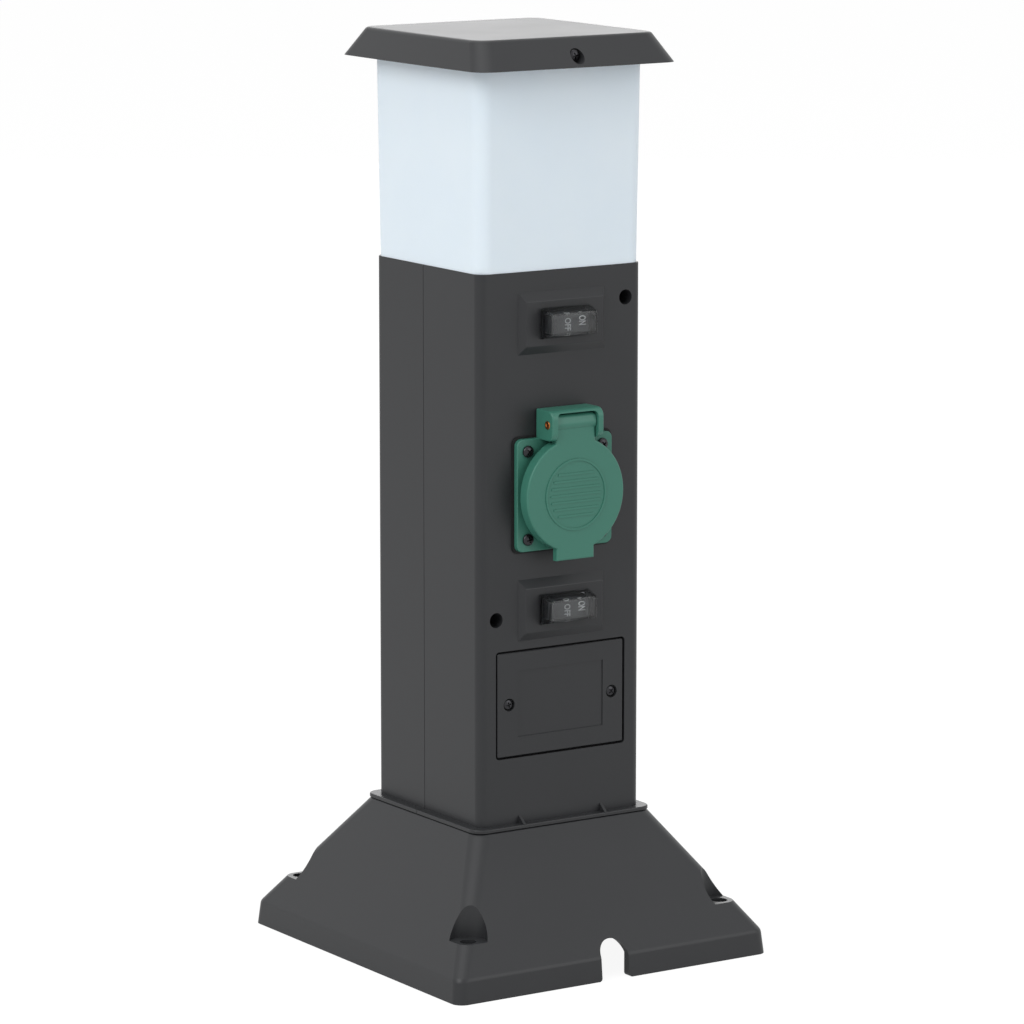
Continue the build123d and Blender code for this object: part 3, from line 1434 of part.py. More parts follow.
with BuildPart() as terminal_tray:
    with BuildSketch(front_plane(ledge_back_y)):
        with Locations((0, cover_z)):
            RectangleRounded(tray_w, tray_h, tray_corner_r)
    extrude(amount=-tray_depth)
    with BuildSketch(front_plane(ledge_back_y)):
        with Locations((0, cover_z)):
            Rectangle(tray_w - 2 * tray_wall, tray_h - 2 * tray_wall)
    extrude(amount=-(tray_depth - tray_wall), mode=Mode.SUBTRACT)
    with BuildSketch(level(cover_z - tray_h / 2)):
        with Locations((0, tray_slot_y)):
            Rectangle(tray_slot_w, tray_slot_depth)
    extrude(amount=tray_h, mode=Mode.SUBTRACT)
terminal_tray.part.label = "terminal_tray"
export_step(terminal_tray.part, "parts/terminal_tray.step")

block_front_y = tray_floor_y - block_depth
pole_xs = [(pole - (block_poles - 1) / 2) * block_pitch for pole in range(block_poles)]
block_screw_places = [(x, cover_z + dz) for x in pole_xs for dz in (-block_screw_dz, block_screw_dz)]
with BuildPart() as terminal_block:
    with BuildSketch(front_plane(block_front_y)):
        with Locations((0, cover_z)):
            Rectangle(block_w, block_h)
    extrude(amount=-block_depth)
    with BuildSketch(front_plane(block_front_y)):
        with Locations((-block_pitch / 2, cover_z), (block_pitch / 2, cover_z)):
            Rectangle(block_groove_w, block_h)
    extrude(amount=-block_groove_depth, mode=Mode.SUBTRACT)
    with BuildSketch(front_plane(block_front_y)):
        with Locations(*block_screw_places):
            Circle(block_screw_r + thread_gap)
    extrude(amount=-block_screw_depth, mode=Mode.SUBTRACT)
terminal_block.part.label = "terminal_block"
export_step(terminal_block.part, "parts/terminal_block.step")

with BuildPart() as terminal_screws:
    with BuildSketch(front_plane(block_front_y + block_screw_depth)):
        with Locations(*block_screw_places):
            Circle(block_screw_r)
    extrude(amount=block_screw_depth - block_screw_sink)
    with BuildSketch(front_plane(block_front_y + block_screw_sink)):
        with Locations(*block_screw_places):
            Rectangle(2 * block_screw_r, block_slot_w)
    extrude(amount=-block_slot_depth, mode=Mode.SUBTRACT)
terminal_screws.part.label = "terminal_screws"
export_step(terminal_screws.part, "parts/terminal_screws.step")

# Wires inside the column: each bends as widely as its two runs allow
def bend_radii(points):
    """The radius of the arc at each inner point of a wire's route."""
    radii = []
    for before, here, after in zip(points, points[1:], points[2:]):
        run_in = Vector(*here) - Vector(*before)
        run_out = Vector(*after) - Vector(*here)
        half_turn = math.radians(run_in.get_angle(run_out)) / 2
        radii.append(bend_share * min(run_in.length, run_out.length) / math.tan(half_turn))
    return radii


def wire(name, points):
    """One insulated wire along its route, from one terminal to the other."""
    radii = bend_radii(points)
    print(name, "bend radii", [round(radius, 1) for radius in radii])
    with BuildPart() as tube:
        with BuildLine() as route:
            FilletPolyline(*points, radius=radii)
        with BuildSketch(Plane(route.line @ 0, z_dir=route.line % 0)):
            Circle(wire_r)
        sweep(path=route.line)
    return tube.part


block_top_z = cover_z + block_h / 2
blade_end_y = switch_back_y + blade_l
contact_end_y = tower_back_y - contact_recess
stem_end_z = holder_floor_z - stem_l
live_x = pole_xs[0]
neutral_x = pole_xs[2]
pin_x = pin_pitch / 2
with BuildPart() as live_wires:
    add(
        wire(
            "terminal to lower switch",
            [
                (live_x + wire_pair, wire_y, block_top_z),
                (live_x + wire_pair, wire_y, block_top_z + 13),
                (-blade_pitch - 0.7, -3.5, lower_z - 7.6),
                (-blade_pitch, -5, lower_z),
                (-blade_pitch, blade_end_y, lower_z),
            ],
        )
    )
    add(
        wire(
            "terminal to upper switch",
            [
                (live_x - wire_pair, wire_y, block_top_z),
                (live_x - wire_pair, wire_y, block_top_z + 11),
                (-20, 4, lower_z + 6),
                (-22, 10, socket_z),
                (-16, 4, upper_z - 29),
                (-blade_pitch - 0.5, -1.5, upper_z - 9),
                (-blade_pitch, -4, upper_z),
                (-blade_pitch, blade_end_y, upper_z),
            ],
        )
    )
    add(
        wire(
            "lower switch to socket",
            [
                (0, blade_end_y, lower_z),
                (0, -6, lower_z),
                (-2, -2, lower_z + 12),
                (-7, 4, socket_z - 17),
                (-pin_x, 2, socket_z),
                (-pin_x, contact_end_y, socket_z),
            ],
        )
    )
    add(
        wire(
            "upper switch to lamp",
            [
                (0, blade_end_y, upper_z),
                (0, -6, upper_z),
                (0, 0, upper_z + 7.6),
                (0, 0, stem_end_z),
            ],
        )
    )
live_wires.part.label = "live_wires"
export_step(live_wires.part, "parts/live_wires.step")

with BuildPart() as neutral_wires:
    add(
        wire(
            "terminal to socket",
            [
                (neutral_x - wire_pair, wire_y, block_top_z),
                (neutral_x - wire_pair, wire_y, block_top_z + 11),
                (12, 3, lower_z + 4),
                (12, 6, socket_z - 21),
                (pin_x, 2, socket_z),
                (pin_x, contact_end_y, socket_z),
            ],
        )
    )
    add(
        wire(
            "terminal to lamp",
            [
                (neutral_x + wire_pair, wire_y, block_top_z),
                (neutral_x + wire_pair, wire_y, block_top_z + 11),
                (20, 6, lower_z + 6),
                (22, 12, socket_z),
                (20, 10, upper_z - 29),
                (shell_tail_x + 2, 3, upper_z - 4),
                (shell_tail_x, 0, upper_z + 8),
                (shell_tail_x, 0, stem_end_z),
            ],
        )
    )
neutral_wires.part.label = "neutral_wires"
export_step(neutral_wires.part, "parts/neutral_wires.step")

earth_end_y = earth_bar_y + earth_t
earth_end_z = socket_z - 8
with BuildPart() as earth_wire:
    add(
        wire(
            "terminal to earth clip",
            [
                (pole_xs[1], wire_y, block_top_z),
                (pole_xs[1], wire_y, block_top_z + 11),
                (0.5, 2, lower_z + 3),
                (1, 6, socket_z - 26),
                (0, -2, earth_end_z),
                (0, earth_end_y, earth_end_z),
            ],
        )
    )
earth_wire.part.label = "earth_wire"
export_step(earth_wire.part, "parts/earth_wire.step")
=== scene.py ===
"""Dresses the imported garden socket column: its finishes, lettered rockers, clear hoods, screws and studio."""

import logging
import math
from dataclasses import dataclass, field
from enum import Enum

import bmesh
import bpy
from mathutils import Matrix, Vector


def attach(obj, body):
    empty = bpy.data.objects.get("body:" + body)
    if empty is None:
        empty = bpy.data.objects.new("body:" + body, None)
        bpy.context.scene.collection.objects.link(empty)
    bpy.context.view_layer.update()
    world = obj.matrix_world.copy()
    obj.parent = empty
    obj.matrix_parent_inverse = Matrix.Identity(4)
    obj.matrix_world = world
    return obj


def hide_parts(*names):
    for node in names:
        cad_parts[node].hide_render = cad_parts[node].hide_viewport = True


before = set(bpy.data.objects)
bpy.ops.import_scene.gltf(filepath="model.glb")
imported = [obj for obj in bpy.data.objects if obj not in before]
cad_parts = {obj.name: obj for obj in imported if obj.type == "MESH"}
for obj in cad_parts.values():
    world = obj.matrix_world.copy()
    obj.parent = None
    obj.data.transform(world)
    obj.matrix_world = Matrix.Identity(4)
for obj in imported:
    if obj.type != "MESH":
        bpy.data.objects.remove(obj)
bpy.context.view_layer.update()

MM = 0.001
MERGE_GAP = 0.002
WHITE = (1.0, 1.0, 1.0, 1.0)
log = logging.getLogger("socket_column")

Settings = dict[str | int, object]


class Word(Enum):
    """The two words printed on a rocker."""

    ON = "ON"
    OFF = "OFF"


class Facing(Enum):
    """The side of the column that a screw's head looks at."""

    FRONT = 90.0
    REAR = -90.0


def linear(colour: str) -> tuple[float, float, float, float]:
    """Turns an sRGB hex value into Blender's linear colour.

    Args:
        colour: Six hex digits, with or without the hash.

    Returns:
        Red, green, blue and alpha, all from 0 to 1.
    """
    digits = colour.lstrip("#")
    channels = [int(digits[start : start + 2], 16) / 255 for start in (0, 2, 4)]
    straight = [c / 12.92 if c <= 0.04045 else ((c + 0.055) / 1.055) ** 2.4 for c in channels]
    return (*straight, 1.0)


def add_node(
    tree: bpy.types.NodeTree,
    kind: str,
    settings: Settings | None = None,
    links: dict[str | int, bpy.types.NodeSocket] | None = None,
) -> bpy.types.Node:
    """Adds one node to a tree.

    Args:
        tree: The material's or the world's node tree.
        kind: The node's type.
        settings: Values for its sockets, by name or number, or for its own properties.
        links: Output sockets to join to its inputs, by name or number.

    Returns:
        The new node.
    """
    node = tree.nodes.new(kind)
    for name, value in (settings or {}).items():
        if isinstance(name, int) or name in node.inputs:
            node.inputs[name].default_value = value
        else:
            setattr(node, name, value)
    for name, socket in (links or {}).items():
        tree.links.new(socket, node.inputs[name])
    return node


def start_material(name: str, settings: Settings) -> tuple[bpy.types.Material, bpy.types.Node]:
    """Makes a material with one Principled shader joined to its output.

    Args:
        name: The material's name.
        settings: Values for the shader's sockets.

    Returns:
        The material and its shader.
    """
    material = bpy.data.materials.new(name)
    material.use_nodes = True
    tree = material.node_tree
    tree.nodes.clear()
    shader = add_node(tree, "ShaderNodeBsdfPrincipled", settings)
    add_node(tree, "ShaderNodeOutputMaterial", links={"Surface": shader.outputs[0]})
    return material, shader


@dataclass(frozen=True)
class Moulding:
    """A moulded plastic or rubber, with the tool's grain and a slow drift of tone and gloss.

    Attributes:
        name: The common name of the material and how it was made.
        colour: The resin's colour.
        drift: The colour that it drifts to over some centimetres.
        roughness: How dull it is where it is glossiest.
        dulling: How much duller it gets in patches.
        gloss: The strength of its reflection.
        grain: The width of the tool's grain, in millimetres.
        depth: The depth of that grain, in millimetres.
        patch: The width of the patches of tone and gloss, in millimetres.
    """

    name: str
    colour: str
    drift: str
    roughness: float
    dulling: float
    gloss: float
    grain: float
    depth: float
    patch: float = 38.0

    def make(self) -> bpy.types.Material:
        """Builds the material and returns it."""
        settings = {"Specular IOR Level": self.gloss, "IOR": 1.5}
        material, shader = start_material(self.name, settings)
        tree = material.node_tree
        place = add_node(tree, "ShaderNodeTexCoord").outputs["Object"]
        patches = add_node(
            tree,
            "ShaderNodeTexNoise",
            {"Scale": 1 / (self.patch * MM), "Detail": 3.0, "Roughness": 0.55},
            {"Vector": place},
        )
        tone = add_node(
            tree,
            "ShaderNodeMix",
            {"data_type": "RGBA", 6: linear(self.colour), 7: linear(self.drift)},
            {0: patches.outputs[0]},
        )
        gloss = add_node(
            tree,
            "ShaderNodeMapRange",
            {"To Min": self.roughness, "To Max": self.roughness + self.dulling},
            {"Value": patches.outputs[0]},
        )
        grain = add_node(
            tree,
            "ShaderNodeTexNoise",
            {"Scale": 1 / (self.grain * MM), "Detail": 2.0, "Roughness": 0.6},
            {"Vector": place},
        )
        relief = add_node(
            tree,
            "ShaderNodeBump",
            {"Strength": 0.6, "Distance": self.depth * MM},
            {"Height": grain.outputs[0]},
        )
        tree.links.new(tone.outputs[2], shader.inputs["Base Color"])
        tree.links.new(gloss.outputs[0], shader.inputs["Roughness"])
        tree.links.new(relief.outputs[0], shader.inputs["Normal"])
        return material


@dataclass(frozen=True)
class Metal:
    """A plated or blackened metal with fine marks of its forming.

    Attributes:
        name: The common name of the metal and its finish.
        colour: Its colour where it is bright.
        dark: Its colour in the marks.
        roughness: How dull it is.
        metallic: 1 for bare metal, less under a dark oxide.
        marks: The spacing of its marks, in millimetres.
        dulling: How much duller the marks are.
    """

    name: str
    colour: str
    dark: str
    roughness: float
    metallic: float
    marks: float
    dulling: float = 0.15

    def make(self) -> bpy.types.Material:
        """Builds the material and returns it."""
        material, shader = start_material(self.name, {"Metallic": self.metallic})
        tree = material.node_tree
        place = add_node(tree, "ShaderNodeTexCoord").outputs["Object"]
        marks = add_node(
            tree,
            "ShaderNodeTexNoise",
            {"Scale": 1 / (self.marks * MM), "Detail": 3.0, "Roughness": 0.6},
            {"Vector": place},
        )
        tone = add_node(
            tree,
            "ShaderNodeMix",
            {"data_type": "RGBA", 6: linear(self.dark), 7: linear(self.colour)},
            {0: marks.outputs[0]},
        )
        gloss = add_node(
            tree,
            "ShaderNodeMapRange",
            {"To Min": self.roughness, "To Max": self.roughness + self.dulling},
            {"Value": marks.outputs[0]},
        )
        tree.links.new(tone.outputs[2], shader.inputs["Base Color"])
        tree.links.new(gloss.outputs[0], shader.inputs["Roughness"])
        return material


@dataclass(frozen=True)
class OpalPlastic:
    """Opal polycarbonate or glass: light spreads in its wall, so its edges glow and nothing shows through.

    Attributes:
        name: The common name of the material.
        colour: Its colour by daylight.
        drift: The colour of its slightly denser streaks.
        spread: How far light travels in it, in millimetres.
        roughness: How dull its skin is.
        streak: The width of its streaks, in millimetres.
        ripple: The depth of its skin's ripples, in millimetres.
    """

    name: str
    colour: str
    drift: str
    spread: float = 3.0
    roughness: float = 0.38
    streak: float = 30.0
    ripple: float = 0.2

    def make(self) -> bpy.types.Material:
        """Builds the material and returns it."""
        settings = {
            "Roughness": self.roughness,
            "IOR": 1.5,
            "Specular IOR Level": 0.4,
            "Subsurface Weight": 0.35,
            "Subsurface Radius": (1.0, 1.0, 1.1),
            "Subsurface Scale": self.spread * MM,
        }
        material, shader = start_material(self.name, settings)
        tree = material.node_tree
        place = add_node(tree, "ShaderNodeTexCoord").outputs["Object"]
        streaks = add_node(
            tree,
            "ShaderNodeTexNoise",
            {"Scale": 1 / (self.streak * MM), "Detail": 2.0, "Roughness": 0.5},
            {"Vector": place},
        )
        tone = add_node(
            tree,
            "ShaderNodeMix",
            {"data_type": "RGBA", 6: linear(self.colour), 7: linear(self.drift)},
            {0: streaks.outputs[0]},
        )
        ripple = add_node(
            tree,
            "ShaderNodeBump",
            {"Strength": 0.25, "Distance": self.ripple * MM},
            {"Height": streaks.outputs[0]},
        )
        tree.links.new(tone.outputs[2], shader.inputs["Base Color"])
        tree.links.new(ripple.outputs[0], shader.inputs["Normal"])
        return material


@dataclass(frozen=True)
class ClearPlastic:
    """Clear soft PVC, dipped or moulded: see-through, with a slightly wavy glossy skin.

    Attributes:
        name: The common name of the material.
        colour: The faint tint of its wall.
        roughness: How dull its skin is.
        wave: The length of the skin's waves, in millimetres.
        depth: The depth of those waves, in millimetres.
    """

    name: str
    colour: str
    roughness: float = 0.03
    wave: float = 4.0
    depth: float = 0.05

    def make(self) -> bpy.types.Material:
        """Builds the material and returns it."""
        settings = {
            "Base Color": linear(self.colour),
            "Roughness": self.roughness,
            "IOR": 1.45,
            "Transmission Weight": 1.0,
        }
        material, shader = start_material(self.name, settings)
        tree = material.node_tree
        place = add_node(tree, "ShaderNodeTexCoord").outputs["Object"]
        waves = add_node(
            tree,
            "ShaderNodeTexNoise",
            {"Scale": 1 / (self.wave * MM), "Detail": 1.0},
            {"Vector": place},
        )
        skin = add_node(
            tree,
            "ShaderNodeBump",
            {"Strength": 0.12, "Distance": self.depth * MM},
            {"Height": waves.outputs[0]},
        )
        tree.links.new(skin.outputs[0], shader.inputs["Normal"])
        return material


@dataclass(frozen=True)
class Insulation:
    """Extruded PVC wire insulation, plain or in two colours side by side.

    Attributes:
        name: The common name of the wire.
        colour: Its main colour.
        stripe: The colour of its other half, or the same colour again.
        lay: The width of a stripe, in millimetres.
    """

    name: str
    colour: str
    stripe: str
    lay: float = 1.6

    def make(self) -> bpy.types.Material:
        """Builds the material and returns it."""
        settings = {"Roughness": 0.42, "Specular IOR Level": 0.45}
        material, shader = start_material(self.name, settings)
        tree = material.node_tree
        place = add_node(tree, "ShaderNodeTexCoord").outputs["Object"]
        bands = add_node(
            tree,
            "ShaderNodeTexWave",
            {"Scale": 1 / (3 * self.lay * MM), "Distortion": 0.3, "bands_direction": "X"},
            {"Vector": place},
        )
        edge = add_node(
            tree,
            "ShaderNodeMapRange",
            {"From Min": 0.45, "From Max": 0.55},
            {"Value": bands.outputs["Fac"]},
        )
        tone = add_node(
            tree,
            "ShaderNodeMix",
            {"data_type": "RGBA", 6: linear(self.colour), 7: linear(self.stripe)},
            {0: edge.outputs[0]},
        )
        tree.links.new(tone.outputs[2], shader.inputs["Base Color"])
        return material


Finish = Moulding | Metal | OpalPlastic | ClearPlastic | Insulation

# Black ABS from a spark-eroded tool: a dark satin that picks up a soft sheen where it is seen along its face.
# The real grain is about 0.1 mm, too fine for a render, so it is drawn 0.8 mm wide and shallow.
DARK_ABS = Moulding("moulded_dark_abs", "292A2C", "2D2E30", 0.37, 0.06, 0.34, 0.8, 0.012)
# Green ABS from a finer tool: a bluish green satin, a little smoother than the shells.
GREEN_ABS = Moulding("moulded_green_abs", "377262", "3B7666", 0.38, 0.06, 0.4, 0.8, 0.008)
# Glass-filled nylon of the fittings inside: nearly black and dry.
BLACK_NYLON = Moulding("moulded_black_nylon", "17181A", "1C1D1F", 0.4, 0.08, 0.4, 0.6, 0.01)
# The rockers come out of a polished tool: dark grey with a clear gloss.
ROCKER_PLASTIC = Moulding("polished_black_polycarbonate", "3A3B3C", "404142", 0.3, 0.05, 0.5, 1.2, 0.006)
# Rubber: black and matt, so that a seal reads as a dark line. Round the socket's flange that black line is
# partly painted shade: it stands in for the flange's contact shadow.
SEAL_RUBBER = Moulding("moulded_epdm_rubber", "131414", "1A1B1B", 0.68, 0.08, 0.3, 0.5, 0.015)
# Hard electrical plastics: an off-white gloss for the lamp holder, a dull grey for the terminal block.
HOLDER_WHITE = Moulding("moulded_white_thermoplastic", "DADAD6", "E0E0DC", 0.3, 0.06, 0.5, 1.5, 0.008)
BLOCK_GREY = Moulding("moulded_grey_polyamide", "B4B4B0", "BDBDB9", 0.45, 0.06, 0.4, 0.8, 0.012)
# Pad-printed ink: dry and flat, white on ON and a greyer ink on OFF, so that OFF is drawn dimmer than ON.
PRINT_WHITE = Moulding("pad_printed_white_ink", "F2F2F0", "EAEAE8", 0.55, 0.05, 0.3, 0.5, 0.004)
PRINT_GREY = Moulding("pad_printed_grey_ink", "C6C6C5", "B4B4B3", 0.6, 0.05, 0.3, 0.5, 0.004)
# Opal shade: a cool white that stays bright round its corners. The bulb's glass is warmer.
SHADE_OPAL = OpalPlastic("opal_polycarbonate", "DFECF8", "E5F0FA")
BULB_OPAL = OpalPlastic("opal_bulb_glass", "EDEDE9", "F1F1EE", 2.0, 0.3)
# Clear PVC: the rocker shows through, bent a little at the hood's edges.
CLEAR_PVC = ClearPlastic("clear_soft_pvc", "F2F5F7")
# Blackened screws: dark, with small bright spots on their domes.
BLACK_STEEL = Metal("blackened_steel", "454548", "222224", 0.18, 0.85, 0.4)
# Zinc plate: a bright bluish grey with fine marks.
ZINC_STEEL = Metal("zinc_plated_steel", "C2C4C6", "9EA1A4", 0.28, 1.0, 0.6)
# Rolled brass: warm yellow, darker where it was worked.
BRASS = Metal("rolled_brass", "D8AE62", "B98C43", 0.25, 1.0, 0.6)
# Coppered steel: the one orange glint, at the ends of the hinge pin.
COPPER = Metal("coppered_steel", "D98A4E", "A35B2C", 0.22, 1.0, 0.5)
# Wire insulation: smooth PVC with a soft gloss.
BROWN_WIRE = Insulation("brown_wire_pvc", "4A2A18", "4A2A18")
BLUE_WIRE = Insulation("blue_wire_pvc", "1E4C8F", "1E4C8F")
EARTH_WIRE = Insulation("green_and_yellow_wire_pvc", "3E7A2A", "D9C92E")

FINISHES: dict[str, Finish] = {
    "base": DARK_ABS,
    "front_shell": DARK_ABS,
    "rear_shell": DARK_ABS,
    "shell_screws": BLACK_STEEL,
    "deck_screws": ZINC_STEEL,
    "gland_body": BLACK_NYLON,
    "gland_nut": BLACK_NYLON,
    "gland_seal": SEAL_RUBBER,
    "gland_locknut": BLACK_NYLON,
    "lamp_plate": DARK_ABS,
    "lamp_holder": HOLDER_WHITE,
    "holder_screws": ZINC_STEEL,
    "holder_contacts": BRASS,
    "bulb_cap": ZINC_STEEL,
    "bulb_globe": BULB_OPAL,
    "diffuser": SHADE_OPAL,
    "shade_gasket": SEAL_RUBBER,
    "cap": DARK_ABS,
    "cap_gasket": SEAL_RUBBER,
    "cap_screws": BLACK_STEEL,
    "socket_housing": GREEN_ABS,
    # Painted shade in part: the black seal's dark line round the flange stands in for the flange's contact
    # shadow.
    "socket_gasket": SEAL_RUBBER,
    "socket_screws": BLACK_STEEL,
    "socket_insert": BLACK_NYLON,
    "socket_contacts": BRASS,
    "earth_clip": ZINC_STEEL,
    "socket_lid": GREEN_ABS,
    "lid_gasket": SEAL_RUBBER,
    "hinge_pin": COPPER,
    "lid_spring": ZINC_STEEL,
    "switch_body_upper": BLACK_NYLON,
    "switch_body_lower": BLACK_NYLON,
    "rocker_upper": ROCKER_PLASTIC,
    "rocker_lower": ROCKER_PLASTIC,
    "hood_upper": CLEAR_PVC,
    "hood_lower": CLEAR_PVC,
    "switch_blades_upper": BRASS,
    "switch_blades_lower": BRASS,
    "terminal_cover": DARK_ABS,
    "cover_gasket": SEAL_RUBBER,
    "cover_screws": BLACK_STEEL,
    "terminal_tray": DARK_ABS,
    "terminal_block": BLOCK_GREY,
    "terminal_screws": ZINC_STEEL,
    "live_wires": BROWN_WIRE,
    "neutral_wires": BLUE_WIRE,
    "earth_wire": EARTH_WIRE,
}

made: dict[str, bpy.types.Material] = {}


def material_of(finish: Finish) -> bpy.types.Material:
    """Gives a finish's material, made once.

    Args:
        finish: One of the finishes above.

    Returns:
        Its material.
    """
    if finish.name not in made:
        made[finish.name] = finish.make()
    return made[finish.name]


def put_in_scene(
    name: str, shape: bmesh.types.BMesh, finish: Finish, smooth: float = 35.0
) -> bpy.types.Object:
    """Turns a finished bmesh into an object of the scene.

    Args:
        name: The piece's name.
        shape: Its mesh, in place, in metres. It is freed here.
        finish: Its finish.
        smooth: The angle in degrees up to which two faces are shaded as one.

    Returns:
        The object, at the scene's origin.
    """
    bmesh.ops.remove_doubles(shape, verts=shape.verts, dist=MERGE_GAP * MM)
    bmesh.ops.recalc_face_normals(shape, faces=shape.faces)
    mesh = bpy.data.meshes.new(name)
    shape.to_mesh(mesh)
    shape.free()
    mesh.shade_smooth()
    mesh.set_sharp_from_angle(angle=math.radians(smooth))
    piece = bpy.data.objects.new(name, mesh)
    bpy.context.scene.collection.objects.link(piece)
    mesh.materials.append(material_of(finish))
    return piece


def carve(block: bpy.types.Object, tool: bpy.types.Object) -> None:
    """Cuts one mesh out of another and removes the tool.

    Args:
        block: The object that is cut. Its mesh is replaced.
        tool: The object that is taken away.
    """
    cut = block.modifiers.new("cut", "BOOLEAN")
    cut.operation = "DIFFERENCE"
    cut.solver = "EXACT"
    cut.use_self = True
    cut.object = tool
    depsgraph = bpy.context.evaluated_depsgraph_get()
    result = bpy.data.meshes.new_from_object(block.evaluated_get(depsgraph))
    block.modifiers.clear()
    block.data = result
    bpy.data.objects.remove(tool)


@dataclass
class CrossScrews:
    """Pan-head screws with a cross recess, all of one size.

    Attributes:
        node: The CAD node that they stand for.
        head_r: The head's radius, in millimetres.
        head_h: The head's height.
        shank_r: The thread's radius.
        shank_l: The length below the head.
        segments: The number of faces round the head.
        turns: How far each screw in turn was driven round, in degrees.
        dome: The share of the head's height that is domed.
        rim: The height of the head's rim, as a share of the head's height.
        seat: The radius of the head's underside, as a share of the head's radius.
        point: The length of the thread's point, as a share of the thread's radius.
        slot: The length and the width of a slot of the recess, as shares of the head's radius.
        slot_taper: How much narrower the slots are at their bottom.
    """

    node: str
    head_r: float
    head_h: float
    shank_r: float
    shank_l: float
    segments: int = 40
    turns: tuple[float, ...] = (12.0, 48.0, 71.0, 33.0)
    dome: float = 0.7
    rim: float = 0.12
    seat: float = 0.94
    point: float = 1.2
    slot: tuple[float, float] = (1.25, 0.27)
    slot_taper: float = 0.72

    def one(self) -> bpy.types.Object:
        """Builds one screw that stands along +Z with its head's seat at the origin, and returns it."""
        shape = bmesh.new()
        edge_h = self.head_h * (1 - self.dome)
        dome_h = self.head_h * self.dome
        angles = [math.radians(degrees) for degrees in range(0, 91, 15)]
        profile = [(self.head_r * math.sin(a), edge_h + dome_h * math.cos(a)) for a in angles]
        profile += [
            (self.head_r, self.head_h * self.rim),
            (self.head_r * self.seat, 0.0),
            (self.shank_r, 0.0),
            (self.shank_r, self.shank_r * self.point - self.shank_l),
            (0.0, -self.shank_l),
        ]
        points = [shape.verts.new((r * MM, 0.0, z * MM)) for r, z in profile]
        edges = [shape.edges.new(pair) for pair in zip(points, points[1:])]
        bmesh.ops.spin(
            shape,
            geom=points + edges,
            cent=(0, 0, 0),
            axis=(0, 0, 1),
            angle=math.tau,
            steps=self.segments,
            use_merge=True,
        )
        screw = put_in_scene("screw_blank", shape, BLACK_STEEL)
        carve(screw, self.recess())
        return screw

    def recess(self) -> bpy.types.Object:
        """Builds the cross-shaped tool that makes the recess, narrower at its bottom, and returns it."""
        shape = bmesh.new()
        tool_h, tool_z = self.head_h * 1.3, self.head_h * 1.05
        for length, width in (self.slot, reversed(self.slot)):
            size = Vector((self.head_r * length, self.head_r * width, tool_h)) * MM
            place = Matrix.Translation((0, 0, tool_z * MM)) @ Matrix.Diagonal((*size, 1))
            bar = bmesh.ops.create_cube(shape, size=1.0, matrix=place)["verts"]
            low = [v for v in bar if v.co.z < self.head_h * MM]
            bmesh.ops.scale(shape, verts=low, vec=(self.slot_taper, self.slot_taper, 1.0))
        mesh = bpy.data.meshes.new("recess_tool")
        shape.to_mesh(mesh)
        shape.free()
        tool = bpy.data.objects.new("recess_tool", mesh)
        bpy.context.scene.collection.objects.link(tool)
        return tool

    def build(self, places: list[tuple[float, float, float, Facing]]) -> None:
        """Copies the screw to its places, as one piece that stands for the CAD's screws.

        Args:
            places: Each head's seat in millimetres, and the side that it looks at.
        """
        blank = self.one()
        shape = bmesh.new()
        for index, (x, y, z, facing) in enumerate(places):
            copy = blank.data.copy()
            turn = Matrix.Rotation(math.radians(self.turns[index % len(self.turns)]), 4, "Z")
            stand = Matrix.Rotation(math.radians(facing.value), 4, "X")
            copy.transform(Matrix.Translation((x * MM, y * MM, z * MM)) @ stand @ turn)
            shape.from_mesh(copy)
            bpy.data.meshes.remove(copy)
        bpy.data.objects.remove(blank)
        piece = put_in_scene(f"{self.node}_dressed", shape, BLACK_STEEL)
        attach(piece, "column")
        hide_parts(self.node)
        log.info("%s: %d screws", piece.name, len(places))


